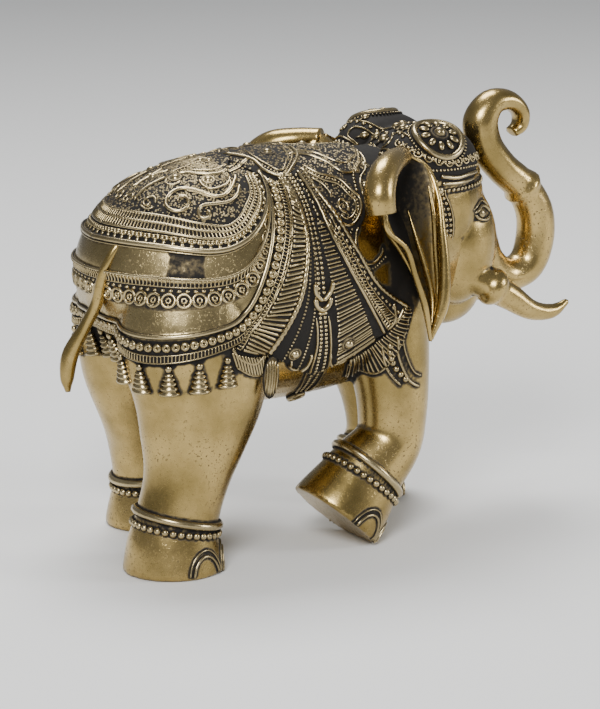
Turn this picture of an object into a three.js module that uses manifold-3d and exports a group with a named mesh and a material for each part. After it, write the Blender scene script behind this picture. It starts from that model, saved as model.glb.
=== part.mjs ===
// A cast brass elephant in a ceremonial saddlecloth, walking with its trunk raised.
// Millimetres, +Z up, +X towards the head; the origin is on the floor under the middle of the figure.
import * as THREE from 'three';
import { mergeVertices } from 'three/addons/utils/BufferGeometryUtils.js';
import Module from 'manifold-3d';

const wasm = await Module();
wasm.setup();

// Driving dimensions
const statueHeight = 114; // floor to the top of the raised trunk
const drawnHeight = 114; // height of the drawing that the figure's proportions are read from
const earThickness = 2.6;
const clothThickness = 1.1; // how far the saddlecloth stands proud of the skin
const reliefDepth = 0.5; // how deep the carving's roots sit below the surface
const ridgeWidth = 1.6; // raised borders of the cloth and the head cap
const ridgeHeight = 0.8;
const coinDiameter = 4; // row of coins hung on the cloth
const coinHeight = 0.8;
const beadDiameter = 2; // beads of the anklets and the head strap
const tasselLength = 8.2; // bell tassels under the hem
const tasselWidth = 5.6;
const ankletWidth = 2.4; // a ring with a row of beads under it
const ankletHeight = 1.2;
const medallionDiameter = 13.6; // one on each dome of the head
const trunkRingHeight = 1;
const tuskCollarHeight = 1.2;

const drawn = statueHeight / drawnHeight;
const degree = Math.PI / 180;
const acrossAxis = new THREE.Vector3(0, 1, 0);
const bothSides = [-1, 1]; // -1 is the figure's right

// A point of the drawing at the statue's real size
const spot = (x, y, z) => new THREE.Vector3(x, y, z).multiplyScalar(drawn);

// Turns a closed geometry into a solid that can be joined and cut
function solid(geometry) {
  geometry.deleteAttribute('normal');
  geometry.deleteAttribute('uv');
  const merged = mergeVertices(geometry, 1e-4);
  const corners = merged.index.array;
  const kept = [];
  for (let i = 0; i < corners.length; i += 3) {
    const [a, b, c] = [corners[i], corners[i + 1], corners[i + 2]];
    if (a !== b && b !== c && c !== a) kept.push(a, b, c);
  }
  return new wasm.Manifold(new wasm.Mesh({
    numProp: 3,
    vertProperties: new Float32Array(merged.attributes.position.array),
    triVerts: new Uint32Array(kept),
  }));
}

// Geometry of a finished solid
function geometryOf(body) {
  const mesh = body.getMesh();
  const geometry = new THREE.BufferGeometry();
  geometry.setAttribute('position', new THREE.BufferAttribute(mesh.vertProperties.slice(), 3));
  geometry.setIndex(new THREE.BufferAttribute(mesh.triVerts.slice(), 1));
  return geometry;
}

// Bends each vertex of a geometry to where a function puts it
function bend(geometry, place) {
  const position = geometry.attributes.position;
  const point = new THREE.Vector3();
  for (let i = 0; i < position.count; i += 1) {
    point.fromBufferAttribute(position, i);
    const target = place(point);
    position.setXYZ(i, target.x, target.y, target.z);
  }
  return geometry;
}

// How fast a path runs at a place, as a share of its mean speed
function stretchOf(path, along) {
  const step = 0.01;
  return path.getPoint(along + step).distanceTo(path.getPoint(along - step)) / (2 * step * path.getLength());
}

// A rounded form along stations [x, y, z, half width across, half depth], all in drawing sizes.
// A ring { at, length, height } is a raised collar round it; at counts stations from the first.
function limb(stations, sides, steps, rings = []) {
  const path = new THREE.CatmullRomCurve3(stations.map(([x, y, z]) => spot(x, y, z)), false, 'centripetal');
  const girth = new THREE.SplineCurve(stations.map((s) => new THREE.Vector2(s[3], s[4])));
  const spans = stations.length - 1;
  let cuts = Array.from({ length: steps + 1 }, (_, i) => ({ along: i / steps, swell: 0 }));
  for (const { at, length, height } of rings) {
    const middle = at / spans;
    const reach = length / 2 / (path.getLength() * stretchOf(path, middle));
    cuts = cuts.filter(({ along }) => Math.abs(along - middle) > reach * 1.3);
    for (const [share, swell] of [[-1, 0], [0, height], [1, 0]]) {
      cuts.push({ along: middle + share * reach, swell });
    }
  }
  cuts.sort((a, b) => a.along - b.along);
  const count = cuts.length - 1;
  return solid(bend(new THREE.CylinderGeometry(1, 1, 1, sides, count), (p) => {
    const { along, swell } = cuts[Math.round((0.5 - p.y) * count)];
    const ahead = path.getTangent(along);
    const across = acrossAxis.clone().addScaledVector(ahead, -ahead.y).normalize();
    const upright = new THREE.Vector3().crossVectors(ahead, across);
    const half = girth.getPoint(along);
    return path.getPoint(along)
      .addScaledVector(across, p.x * (half.x * drawn + swell))
      .addScaledVector(upright, p.z * (half.y * drawn + swell));
  }));
}

// An egg shape given by its centre and three half sizes
function egg(centre, halves, sides, rings) {
  const ball = new THREE.SphereGeometry(1, sides, rings).rotateX(90 * degree);
  const [a, b, c] = halves.map((h) => h * drawn);
  return solid(ball.scale(a, b, c).translate(...spot(...centre).toArray()));
}

// Barrel and legs
const barrel = [
  [-64.8, 0, 66, 5, 6],
  [-63.3, 0, 66.5, 13.5, 14],
  [-58.5, 0, 67.7, 21, 21.5],
  [-50, 0, 69, 27.5, 28.3],
  [-36, 0, 69.8, 30.5, 32],
  [-18, 0, 70, 31, 33.2],
  [0, 0, 70.3, 29.5, 32.3],
  [14, 0, 73, 25.5, 30],
  [26, 0, 77, 20, 26],
  [36, 0, 80, 16, 20],
];
const hindLegs = [
  { side: -1, hipX: -46, footX: -55, footY: -20 },
  { side: 1, hipX: -42, footX: -38, footY: 21.5 },
].map(({ side, hipX, footX, footY }) => {
  const step = footX - hipX;
  return [
    [hipX + 5, side * 9, 88, 5, 7],
    [hipX + 2, side * 14, 74, 13.5, 17],
    [hipX, side * 16, 60, 16, 20],
    [hipX, side * 17.5, 46, 14.5, 18.5],
    [hipX + step * 0.3, side * 19, 33, 12.3, 14.3],
    [hipX + step * 0.6, footY, 23, 10.8, 11.2],
    [hipX + step * 0.9, footY, 13, 10.6, 10.9],
    [footX, footY, 7, 11.8, 12.4],
    [footX, footY, 0, 13, 13.6],
  ];
});
const raisedLeg = [
  [8, -10, 86, 5, 7],
  [8.5, -13, 76, 11, 13],
  [10, -15, 62, 13, 14],
  [12, -18, 46, 11, 10.8],
  [11.8, -20, 34, 9.6, 9.3],
  [10.3, -20.5, 25.5, 9.2, 9],
  [3, -20.5, 17.8, 10, 10.8],
  [-2, -20.5, 11.8, 11.6, 12.4],
  [-6.5, -20.5, 6.8, 12.6, 13.4],
];
const plantedLeg = [
  [9, 10, 86, 5, 7],
  [10.5, 12, 76, 11, 13],
  [14, 13, 62, 12, 13],
  [21, 15, 46, 10, 11],
  [27.5, 16, 32, 8.8, 9.3],
  [30, 16, 18, 8.6, 8.8],
  [28, 15.5, 12, 9.2, 9.4],
  [25, 15, 6, 10.8, 11],
  [24.5, 15, 0, 11.6, 12],
];
const legs = [...hindLegs, raisedLeg, plantedLeg];
const ankletStation = 3.1; // counted up from the sole
const ankletSpan = 7.5; // length of leg from one station to the next there
function torso() {
  let whole = limb(barrel, 18, 11);
  for (const leg of legs) {
    const anklet = { at: leg.length - ankletStation, length: ankletWidth, height: ankletHeight };
    const beadRow = { at: anklet.at + ankletWidth / ankletSpan, length: beadDiameter, height: ankletHeight * 0.7 };
    whole = whole.add(limb(leg, 11, 8, [anklet, beadRow]));
  }
  return whole;
}

// Places on the body are named by a run and a rise. The run goes along the spine in drawing
// sizes, negative round the rump to the tail; the rise is an angle above the level of the spine.
const panelRoot = 3.4; // how deep the cloth panels reach below the skin
const spineRear = [-34, 0, 70];
const rumpRadius = 31;
const tailRun = -rumpRadius * 90 * degree;
const panelStart = tailRun - 1.5; // the two sides' panels overlap under the tail
function lookOut(run, rise, side) {
  const turn = Math.max(0, -run) / rumpRadius;
  const flat = Math.cos(rise * degree);
  const direction = new THREE.Vector3(-Math.sin(turn) * flat, side * Math.cos(turn) * flat, Math.sin(rise * degree));
  const [x, y, z] = spineRear;
  return { from: spot(x + Math.max(0, run), y, z), direction };
}

// Skull with its twin domes, cheeks and lower jaw
const skullCentre = [30, 0, 84];
const domeCentre = [28, 11.5, 97.5];
function head() {
  let whole = egg([30, 0, 86], [20, 19, 20], 16, 8);
  for (const side of bothSides) {
    whole = whole.add(egg([domeCentre[0], side * domeCentre[1], domeCentre[2]], [14.5, 10, 10.6], 14, 7));
    whole = whole.add(egg([40, side * 7, 74], [12, 9.5, 17], 12, 6));
  }
  return whole.add(egg([41, 0, 60], [11, 7.5, 10], 8, 5));
}

// The trunk runs down the face, swings forward and up, and curls over at the top
const trunkStations = [
  [36, 0, 92, 9, 9],
  [43, 0, 84, 9, 9],
  [48.5, 0, 74, 8, 8],
  [54, 0, 65.3, 6.5, 6.2],
  [61.5, 0, 61.3, 5.4, 4.8],
  [68, 0, 63.3, 5.4, 5],
  [71, 0, 70, 5.4, 5.4],
  [70.8, 0, 78, 5.2, 5.3],
  [66.5, 0, 85.5, 4.8, 4.8],
  [59.5, 0, 91.7, 4.7, 4.6],
  [54, 0, 98.5, 4.9, 4.8],
  [52.5, 0, 105, 4.9, 4.9],
  [56, 0, 109.8, 4.4, 3.7],
  [61.5, 0, 110, 4, 2.8],
  [65.5, 0, 106.5, 3.6, 2.2],
  [65.3, 0, 102.7, 3.2, 1.9],
  [62.6, 0, 101, 2.6, 1.6],
];
const tuskStations = [
  [40, 10, 66, 3.4, 3.8],
  [46, 13, 63, 4, 4.2],
  [53, 14, 58.8, 3.6, 3.8],
  [60, 15, 54.3, 2.8, 2.8],
  [67, 15, 53.3, 2, 2],
  [72, 15, 55.6, 0.9, 0.9],
];
const tailStations = [
  [-60, -9, 88.5, 2.6, 2.6],
  [-65.2, -8.5, 85, 2.4, 2.4],
  [-67.4, -7.5, 79.5, 2.1, 2.1],
  [-68, -6, 74, 1.9, 1.9],
  [-68.4, -4.5, 69, 1.8, 1.8],
  [-70.6, -2.4, 63, 1.6, 1.6],
  [-74, 0, 55, 2.4, 2.4],
  [-75, 0, 49, 1.8, 1.8],
  [-74.8, 0, 45.5, 0.7, 0.7],
];
const mirrored = (stations, side) => stations.map(([x, y, z, a, b]) => [x, side * y, z, a, b]);

// An ear is a leaf folded along its root, trough outward, with its rear corner rolled over
function ear(side) {
  const curve = (points) => new THREE.CatmullRomCurve3(points.map(([x, y, z]) => spot(x, y, z)));
  const frontRim = curve([[15, 22, 102.5], [17.6, 28, 95], [18.6, 32, 80], [20, 34, 65], [14.6, 35, 55]]);
  const root = curve([[7, 18, 101], [9, 17, 92], [12, 20, 80], [16, 25, 67], [14.2, 34, 55.6]]);
  const rearLip = curve([[0, 30, 102], [-3, 36, 93], [4, 38, 82], [11, 36, 72], [13.8, 35.4, 55.2]]);
  const leaf = new THREE.BoxGeometry(1, 1, 1, 4, 6, 1);
  const sheet = solid(bend(leaf, (p) => {
    const along = 0.5 - p.y;
    const across = 0.5 + side * p.x;
    const [front, middle, rear] = [frontRim, root, rearLip].map((c) => c.getPoint(along));
    const reach = Math.abs(across - 0.5) * 2;
    const point = middle.lerp(across < 0.5 ? front : rear, Math.sin(reach * 90 * degree));
    point.y = side * (point.y + p.z * earThickness);
    return point;
  }));
  const [forward, down] = side > 0 ? [6, 4.5] : [0, 0]; // the left ear is held lower
  const rolledCorner = limb([
    [7 + forward, side * 27, 102.4 - down * 0.5, 2.4, 2],
    [0 + forward, side * 34, 100.8 - down, 3.8, 3.4],
    [-3.5 + forward, side * 37.5, 95.5 - down, 3.8, 3.8],
    [-2.5 + forward, side * 38.5, 90 - down, 2.4, 2.4],
  ], 6, 4);
  return sheet.add(rolledCorner);
}

// The bare castings that the carving is laid on
const rays = new THREE.Raycaster();
function targetOf(body) {
  const mesh = new THREE.Mesh(geometryOf(body), new THREE.MeshBasicMaterial());
  mesh.updateMatrixWorld(true);
  return mesh;
}
const bareTorso = torso();
const bareHead = head();
const skinTarget = targetOf(bareTorso);
const headTarget = targetOf(bareHead);

// Finds the outermost surface along a direction, as a point and its outward normal
function touch(target, from, direction) {
  const far = 100 * drawn;
  rays.set(from.clone().addScaledVector(direction, far), direction.clone().negate());
  const [hit] = rays.intersectObject(target);
  return { point: hit.point, normal: hit.face.normal.clone() };
}
function onSkin(run, rise, side) {
  const { from, direction } = lookOut(run, rise, side);
  return { ...touch(skinTarget, from, direction), direction };
}
function onHead(azimuth, elevation, side) {
  const [a, e] = [azimuth * degree, elevation * degree];
  const direction = new THREE.Vector3(
    Math.cos(a) * Math.cos(e), side * Math.sin(a) * Math.cos(e), Math.sin(e));
  return touch(headTarget, spot(...skullCentre), direction);
}

// A raised border along a guide of [first, second] coordinates, laid on the surface that find reads
function ridge(guide, find, count, side, width = ridgeWidth, height = ridgeHeight) {
  const line = new THREE.SplineCurve(guide.map(([a, b]) => new THREE.Vector2(a, b)));
  const places = [];
  for (let i = 0; i <= count; i += 1) {
    const at = line.getPoint(i / count);
    places.push(find(at.x, at.y, side));
  }
  return solid(bend(new THREE.BoxGeometry(1, 1, 1, 1, 1, count), (p) => {
    const i = Math.round((p.z + 0.5) * count);
    const [before, after] = [places[Math.max(0, i - 1)], places[Math.min(count, i + 1)]];
    const ahead = after.point.clone().sub(before.point).normalize();
    const out = before.normal.clone().add(places[i].normal).add(after.normal).normalize();
    const sideways = new THREE.Vector3().crossVectors(out, ahead).normalize();
    const half = p.y > 0 ? 0 : width * 0.6;
    return places[i].point.clone()
      .addScaledVector(sideways, Math.sign(p.x) * half)
      .addScaledVector(out, p.y > 0 ? height : -reliefDepth);
  }));
}

// Points spaced evenly by real length along a guide on the surface
function spaced(guide, find, pitch, side, ends = 0.5) {
  const line = new THREE.SplineCurve(guide.map(([a, b]) => new THREE.Vector2(a, b)));
  const samples = 90;
  const places = Array.from({ length: samples + 1 }, (_, i) => {
    const at = line.getPoint(i / samples);
    return { ...find(at.x, at.y, side), at };
  });
  const kept = [];
  let gone = pitch * (1 - ends);
  for (let i = 1; i <= samples; i += 1) {
    gone += places[i].point.distanceTo(places[i - 1].point);
    if (gone >= pitch) {
      gone -= pitch;
      kept.push(places[i]);
    }
  }
  return kept;
}

// Sets a small form, drawn along +Y from its seat, on a place of the surface
function seat(geometry, { point, normal }, along = new THREE.Vector3(0, 0, 1)) {
  const forward = along.clone().addScaledVector(normal, -along.dot(normal)).normalize();
  const sideways = new THREE.Vector3().crossVectors(normal, forward);
  const frame = new THREE.Matrix4().makeBasis(sideways, normal, forward).setPosition(point);
  return solid(geometry.applyMatrix4(frame));
}
function stud(place, diameter, height, sides, topShare) {
  const full = height + reliefDepth;
  const shape = new THREE.CylinderGeometry(diameter * 0.5 * topShare, diameter * 0.5, full, sides);
  return seat(shape.translate(0, full / 2 - reliefDepth, 0), place);
}
// A panel of the cloth: rows { line, height } from its upper edge down, each a guide of
// [run, rise] points with the height of the carving above the skin there
function panel(rows, columns, side) {
  const lines = rows.map(({ line }) => new THREE.SplineCurve(line.map(([a, b]) => new THREE.Vector2(a, b))));
  const last = rows.length - 1;
  return solid(bend(new THREE.BoxGeometry(1, 1, 1, columns, last, 1), (p) => {
    const column = Math.round((p.x + 0.5) * columns);
    const row = Math.round((0.5 + side * p.y) * last);
    const at = lines[row].getPoint(column / columns);
    const { point, direction } = onSkin(at.x, at.y, side);
    const { height } = rows[row];
    const raised = typeof height === 'function' ? height(column) : height;
    return point.addScaledVector(direction, p.z > 0 ? raised : -panelRoot);
  }));
}
function between(upper, lower, share) {
  return upper.map(([run, rise], i) => [
    run + (lower[i][0] - run) * share,
    rise + (lower[i][1] - rise) * share,
  ]);
}

// The rump panel: bands that start under the tail, sag along the flank and meet on the back
const upperBand = [[panelStart, 25.5], [-30, 26], [-14, 25], [-5, 29], [1, 36], [8, 55], [13.5, 71]];
const lowerBand = [[panelStart, -15], [-30, -16], [-14, -14], [-5, -10], [2.5, 6], [9, 32], [15, 61]];
const coinBand = 0.53;
function rumpPanel(side) {
  const plain = clothThickness;
  const bands = [
    [-1.25, plain * 0.5], [-0.32, plain], [-0.27, plain + ridgeHeight * 0.7], [-0.22, plain],
    [-0.05, plain], [0, plain + ridgeHeight], [0.05, plain],
    [0.27, plain], [0.32, plain + ridgeHeight], [0.37, plain], [0.62, plain * 0.9],
    [0.8, plain], [0.85, plain + ridgeHeight], [0.9, plain * 0.9], [0.95, plain + ridgeHeight * 0.8],
    [1.03, plain * 0.5],
  ];
  const rows = bands.map(([share, height]) => ({ line: between(upperBand, lowerBand, share), height }));
  return panel(rows, 12, side);
}

// The front panels: a ribbed crescent, the strap, a long ridge and the fan up to the neck rope
const crescentInner = [[15, 61], [12.3, 45], [8.5, 27], [4.5, 11], [-1.5, -5], [-9, -17]];
const crescentRope = [[16.5, 62], [15.8, 45], [14.7, 29], [12.8, 14], [9.9, -2], [2, -26]];
const strap = [[18, 61], [17.4, 45], [16.8, 28], [16.5, 10], [17, -12], [18.6, -44]];
const longRidge = [[19.5, 61], [19.8, 45], [21.3, 28], [25.3, 8], [31, -9], [38, -26]];
const neckRope = [[36, 70], [32.4, 52], [30.3, 36], [30, 20], [34.5, 2], [45, -14]];
const fanEdge = [[32, -54], [37, -46], [41, -36], [44, -26], [46, -14]];
const fanRoot = [[29, -36], [32.5, -33], [36, -29], [39.5, -23], [43.5, -13]];
const ribbed = (low) => (column) => (column % 2 ? low + ridgeHeight * 0.8 : low);
function frontPanels(side) {
  const plain = clothThickness;
  const ridge = plain + ridgeHeight;
  const flank = [
    { line: crescentInner, height: plain },
    { line: between(crescentInner, crescentRope, 0.15), height: ribbed(plain) },
    { line: between(crescentInner, crescentRope, 0.8), height: ribbed(plain) },
    { line: crescentRope, height: ridge },
    { line: between(crescentRope, strap, 0.3), height: plain },
    { line: between(crescentRope, strap, 0.7), height: plain },
    { line: strap, height: ridge },
    { line: between(strap, longRidge, 0.2), height: plain },
    { line: between(strap, longRidge, 0.3), height: ribbed(plain) },
    { line: between(strap, longRidge, 0.85), height: ribbed(plain) },
    { line: longRidge, height: ridge },
    { line: between(longRidge, neckRope, 0.15), height: ribbed(plain) },
    { line: between(longRidge, neckRope, 0.5), height: ribbed(plain) },
    { line: between(longRidge, neckRope, 0.85), height: plain },
    { line: neckRope, height: ridge },
    { line: between(longRidge, neckRope, 1.12), height: plain * 0.4 },
  ].reverse();
  const fan = [
    { line: fanRoot, height: plain },
    { line: between(fanRoot, fanEdge, 0.2), height: ribbed(plain) },
    { line: fanEdge, height: ribbed(plain * 0.6) },
  ];
  return [panel(flank, 16, side), panel(fan, 10, side)];
}

function coins(side) {
  const row = spaced(between(upperBand, lowerBand, coinBand), onCloth, coinDiameter * 1.2, side);
  return row.filter(({ at }) => at.x < -1).map((place) => stud(place, coinDiameter, coinHeight, 5, 0.8));
}

// Bell tassels hang round the rump below the hem
function tassels() {
  const profile = [[0, 0], [0.22, -0.14], [0.15, -0.36], [0.38, -0.62], [0.5, -1], [0, -1]];
  const perSide = 6;
  const firstRun = -11;
  const rise = -20;
  const parts = [];
  for (const side of bothSides) {
    for (let i = 0; i <= perSide; i += 1) {
      if (i === perSide && side > 0) continue; // the one under the tail is shared
      const run = firstRun + ((tailRun - firstRun) * i) / perSide;
      const bell = new THREE.LatheGeometry(
        profile.map(([r, y]) => new THREE.Vector2(r * tasselWidth, y * tasselLength)).reverse(), 5);
      bell.rotateX(90 * degree).translate(0, reliefDepth * 0.4, 0);
      parts.push(seat(bell, onCloth(run, rise, side)));
    }
  }
  return parts;
}

// The head cap: borders, a medallion on each dome, a teardrop between them and a beaded strap
function capCarving(side) {
  const parts = [
    ridge([[178, 50], [150, 42], [124, 31], [104, 27], [75, 31], [40, 30], [0, 34]], onHead, 8, side),
  ];
  const [x, y, z] = domeCentre;
  const facing = new THREE.Vector3(0, side * 0.62, 1).normalize();
  const crown = touch(headTarget, spot(x, side * y, z), facing);
  crown.normal.copy(facing);
  parts.push(stud(crown, medallionDiameter, 0.9, 12, 0.85));
  parts.push(stud(crown, medallionDiameter * 0.5, 1.7, 8, 0.5));
  parts.push(ridge([[102, 26], [96, 12], [91, -8], [88, -28]], onHead, 4, side, beadDiameter * 1.3));
  return parts;
}

let dressed = bareTorso;
for (const side of bothSides) {
  for (const cloth of [rumpPanel(side), ...frontPanels(side)]) dressed = dressed.add(cloth);
}
const clothTarget = targetOf(dressed);
function onCloth(run, rise, side) {
  const { from, direction } = lookOut(run, rise, side);
  return touch(clothTarget, from, direction);
}

const trunkRing = { at: 8, length: 2.4, height: trunkRingHeight };
const tuskCollar = { at: 1.3, length: 4, height: tuskCollarHeight };
let parts = [dressed, bareHead, limb(trunkStations, 9, 24, [trunkRing]), limb(tailStations, 6, 8)];
parts = parts.concat(tassels());
for (const side of bothSides) {
  parts.push(limb(mirrored(tuskStations, side), 7, 7, [tuskCollar]), ear(side));
  parts = parts.concat(coins(side), capCarving(side));
}
const floorCut = solid(new THREE.BoxGeometry(400, 400, 100).translate(0, 0, -50));
const elephant = parts.reduce((whole, part) => whole.add(part)).subtract(floorCut);

const brass = new THREE.MeshStandardMaterial({ color: 0x9a7b3c, roughness: 0.35, metalness: 1 });
const casting = new THREE.Mesh(geometryOf(elephant), brass);
casting.name = 'elephant';
casting.geometry.computeBoundingBox();
const box = casting.geometry.boundingBox;
casting.position.set(-(box.min.x + box.max.x) / 2, -(box.min.y + box.max.y) / 2, -box.min.z);

const statue = new THREE.Group();
statue.add(casting);

export default statue;
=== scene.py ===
# A cast brass elephant in a ceremonial saddlecloth, trunk raised, on a pale floor under soft light.
# Lengths in the dictionaries are drawing millimetres, +X towards the head and +Z up.
import math
import random

import bmesh
import bpy
import numpy as np
from mathutils import Matrix, Vector
from mathutils.bvhtree import BVHTree


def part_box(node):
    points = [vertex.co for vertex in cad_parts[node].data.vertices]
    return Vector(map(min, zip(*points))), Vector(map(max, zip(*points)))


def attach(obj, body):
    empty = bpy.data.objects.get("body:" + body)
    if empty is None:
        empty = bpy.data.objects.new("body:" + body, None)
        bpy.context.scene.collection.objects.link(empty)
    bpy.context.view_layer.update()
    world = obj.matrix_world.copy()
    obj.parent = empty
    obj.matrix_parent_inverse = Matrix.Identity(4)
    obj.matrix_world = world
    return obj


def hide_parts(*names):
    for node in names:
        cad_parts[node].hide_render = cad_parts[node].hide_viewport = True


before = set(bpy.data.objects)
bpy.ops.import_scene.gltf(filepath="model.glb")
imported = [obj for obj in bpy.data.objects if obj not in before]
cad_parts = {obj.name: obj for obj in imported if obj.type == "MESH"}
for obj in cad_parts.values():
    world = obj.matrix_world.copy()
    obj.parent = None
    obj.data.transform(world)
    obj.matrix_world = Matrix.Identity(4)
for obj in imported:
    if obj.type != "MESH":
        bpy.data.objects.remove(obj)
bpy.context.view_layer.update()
low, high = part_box("elephant")

drawing = {"length": 153.11, "shift": 0.24}  # its length, and how far it moves along X to be centred
mm = (high.x - low.x) / drawing["length"]
scene = bpy.context.scene
bothSides = (-1, 1)  # right, left


def spot(x, y, z):  # a point of the drawing in the frame's metres
    return Vector(((x + drawing["shift"]) * mm, y * mm, z * mm))


# Camera, at the height and side of the picture
view = {"at": (-474.96, -782.38, 265.77), "ahead": (0.5008, 0.8335, -0.2334), "lens": 177.72, "sensor": 36}


def setCamera():
    ahead = Vector(view["ahead"]).normalized()
    across = ahead.cross(Vector((0, 0, 1))).normalized()
    above = across.cross(ahead)
    camera = bpy.data.objects.new("camera", bpy.data.cameras.new("camera"))
    camera.data.lens = view["lens"]
    camera.data.sensor_width = view["sensor"]
    camera.data.clip_start = 0.01
    camera.matrix_world = Matrix.Translation(spot(*view["at"])) @ Matrix(
        (across, above, -ahead)).transposed().to_4x4()
    scene.collection.objects.link(camera)
    scene.camera = camera


setCamera()
print("camera set")


# Smooth lines through points
def curveStep(b, c, v0, v1, t):  # the cubic from b to c with speeds v0 and v1
    return (b * 2 - c * 2 + v0 + v1) * t ** 3 + (c * 3 - b * 3 - v0 * 2 - v1) * t ** 2 + v0 * t + b


def roundedLine(points):  # even steps of the parameter from point to point
    points = [Vector(p) for p in points]
    last = len(points) - 1

    def at(share):
        place = min(max(share, 0), 1) * last
        i = min(int(place), last - 1)
        t = place - i
        a, b, c, d = (points[max(0, min(last, i + k))] for k in (-1, 0, 1, 2))
        return curveStep(b, c, (c - a) * 0.5, (d - b) * 0.5, t)
    return at


def spacedLine(points):  # the same, with tangents that heed how far apart the points are
    points = [Vector(p) for p in points]
    last = len(points) - 1
    ends = [points[0] * 2 - points[1], points[-1] * 2 - points[-2]]

    def at(share):
        place = min(max(share, 0), 1) * last
        i = min(int(place), last - 1)
        t = place - i
        a = points[i - 1] if i > 0 else ends[0]
        b, c = points[i], points[i + 1]
        d = points[i + 2] if i + 2 <= last else ends[1]
        g0, g1, g2 = (max((q - p).length, 1e-9) ** 0.5 for p, q in ((a, b), (b, c), (c, d)))
        v0 = ((b - a) / g0 - (c - a) / (g0 + g1) + (c - b) / g1) * g1
        v1 = ((c - b) / g1 - (d - b) / (g1 + g2) + (d - c) / g2) * g1
        return curveStep(b, c, v0, v1, t)
    return at


# Meshes
def bentGrid(columns, rows, place, tube=False, tone=None):  # every corner goes where place(u, v) says
    bm = bmesh.new()
    bmesh.ops.create_grid(bm, x_segments=columns, y_segments=rows, size=0.5)
    layer = bm.verts.layers.float.new("patina")
    for vert in bm.verts:
        vert[layer] = tone(vert.co.x + 0.5, vert.co.y + 0.5) if tone else 1
        vert.co = place(vert.co.x + 0.5, vert.co.y + 0.5)
    if tube:
        bmesh.ops.remove_doubles(bm, verts=bm.verts, dist=1e-7)
        bmesh.ops.holes_fill(bm, edges=[e for e in bm.edges if e.is_boundary], sides=0)
        bmesh.ops.triangulate(bm, faces=[f for f in bm.faces if len(f.verts) > 4])
    bmesh.ops.recalc_face_normals(bm, faces=bm.faces)
    return bm


def gather(parts):  # joins finished bmeshes and meshes into one mesh
    whole = bmesh.new()
    for part in parts:
        if isinstance(part, bpy.types.Mesh):
            whole.from_mesh(part)
            bpy.data.meshes.remove(part)
        else:
            mesh = bpy.data.meshes.new("part")
            part.to_mesh(mesh)
            part.free()
            whole.from_mesh(mesh)
            bpy.data.meshes.remove(mesh)
    mesh = bpy.data.meshes.new("gathered")
    whole.to_mesh(mesh)
    whole.free()
    return mesh


def bothWays(carve):  # what is carved on the right, then the same on the left
    return gather([part for side in bothSides for part in carve(side)])


def makePiece(name, mesh, material):
    mesh.name = name
    mesh.materials.clear()
    mesh.materials.append(material)
    piece = bpy.data.objects.new(name, mesh)
    scene.collection.objects.link(piece)
    mesh.shade_smooth()
    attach(piece, "root")
    print(name, sum(len(p.vertices) - 2 for p in mesh.polygons), "triangles")
    return piece


def fuse(mesh, voxel, smoothing):  # one skin round overlapping forms, with soft fillets
    worker = bpy.data.objects.new("worker", mesh)
    scene.collection.objects.link(worker)
    remesh = worker.modifiers.new("skin", "REMESH")
    remesh.mode = "VOXEL"
    remesh.voxel_size = voxel * mm
    soften = worker.modifiers.new("soften", "SMOOTH")
    soften.factor = 0.5
    soften.iterations = smoothing
    bpy.context.view_layer.update()
    finished = bpy.data.meshes.new_from_object(worker.evaluated_get(bpy.context.evaluated_depsgraph_get()))
    bpy.data.objects.remove(worker)
    bpy.data.meshes.remove(mesh)
    return finished


# A limb's stations are x, y, z, half width and half depth, and its rings are where, how long and how high
def limb(stations, sides, steps, rings=(), mouth=0.0):
    path = spacedLine([s[:3] for s in stations])
    girth = roundedLine([s[3:5] for s in stations])
    spans = len(stations) - 1

    def swell(along):
        most = 0
        for at, length, height in rings:
            speed = (path(along + 0.005) - path(along - 0.005)).length / 0.01
            off = abs(along - at / spans) * speed / (length / 2)
            most = max(most, height * max(0, 1 - off * off) ** 0.5)
        return most

    def inside(u):  # an open end folds back into itself over the last fifth of the grid
        return max(0, u - 0.8) / 0.2 if mouth else 0

    def place(u, v):
        deep = inside(u)
        slim = 1 - 0.24 * min(1, deep * 4) - 0.7 * max(0, deep - 0.7) / 0.3
        if mouth:
            u = min(1, u / 0.8) - mouth * deep
        ahead = (path(min(1, u + 0.004)) - path(max(0, u - 0.004))).normalized()
        across = (Vector((0, 1, 0)) - ahead * ahead.y).normalized()
        upright = ahead.cross(across)
        half = girth(u) * slim
        more = swell(u) if rings else 0
        turn = v * 2 * math.pi
        wide = across * math.cos(turn) * (half.x + more)
        return spot(*(path(u) + wide + upright * math.sin(turn) * (half.y + more)))
    return bentGrid(steps, sides, place, tube=True, tone=lambda u, v: 1 - 0.95 * min(1, 2.5 * inside(u)))


def egg(centre, halves):
    bm = bmesh.new()
    bmesh.ops.create_uvsphere(bm, u_segments=32, v_segments=20, radius=mm)
    bmesh.ops.scale(bm, vec=Vector(halves), verts=bm.verts)
    bmesh.ops.translate(bm, vec=spot(*centre), verts=bm.verts)
    return bm


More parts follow.
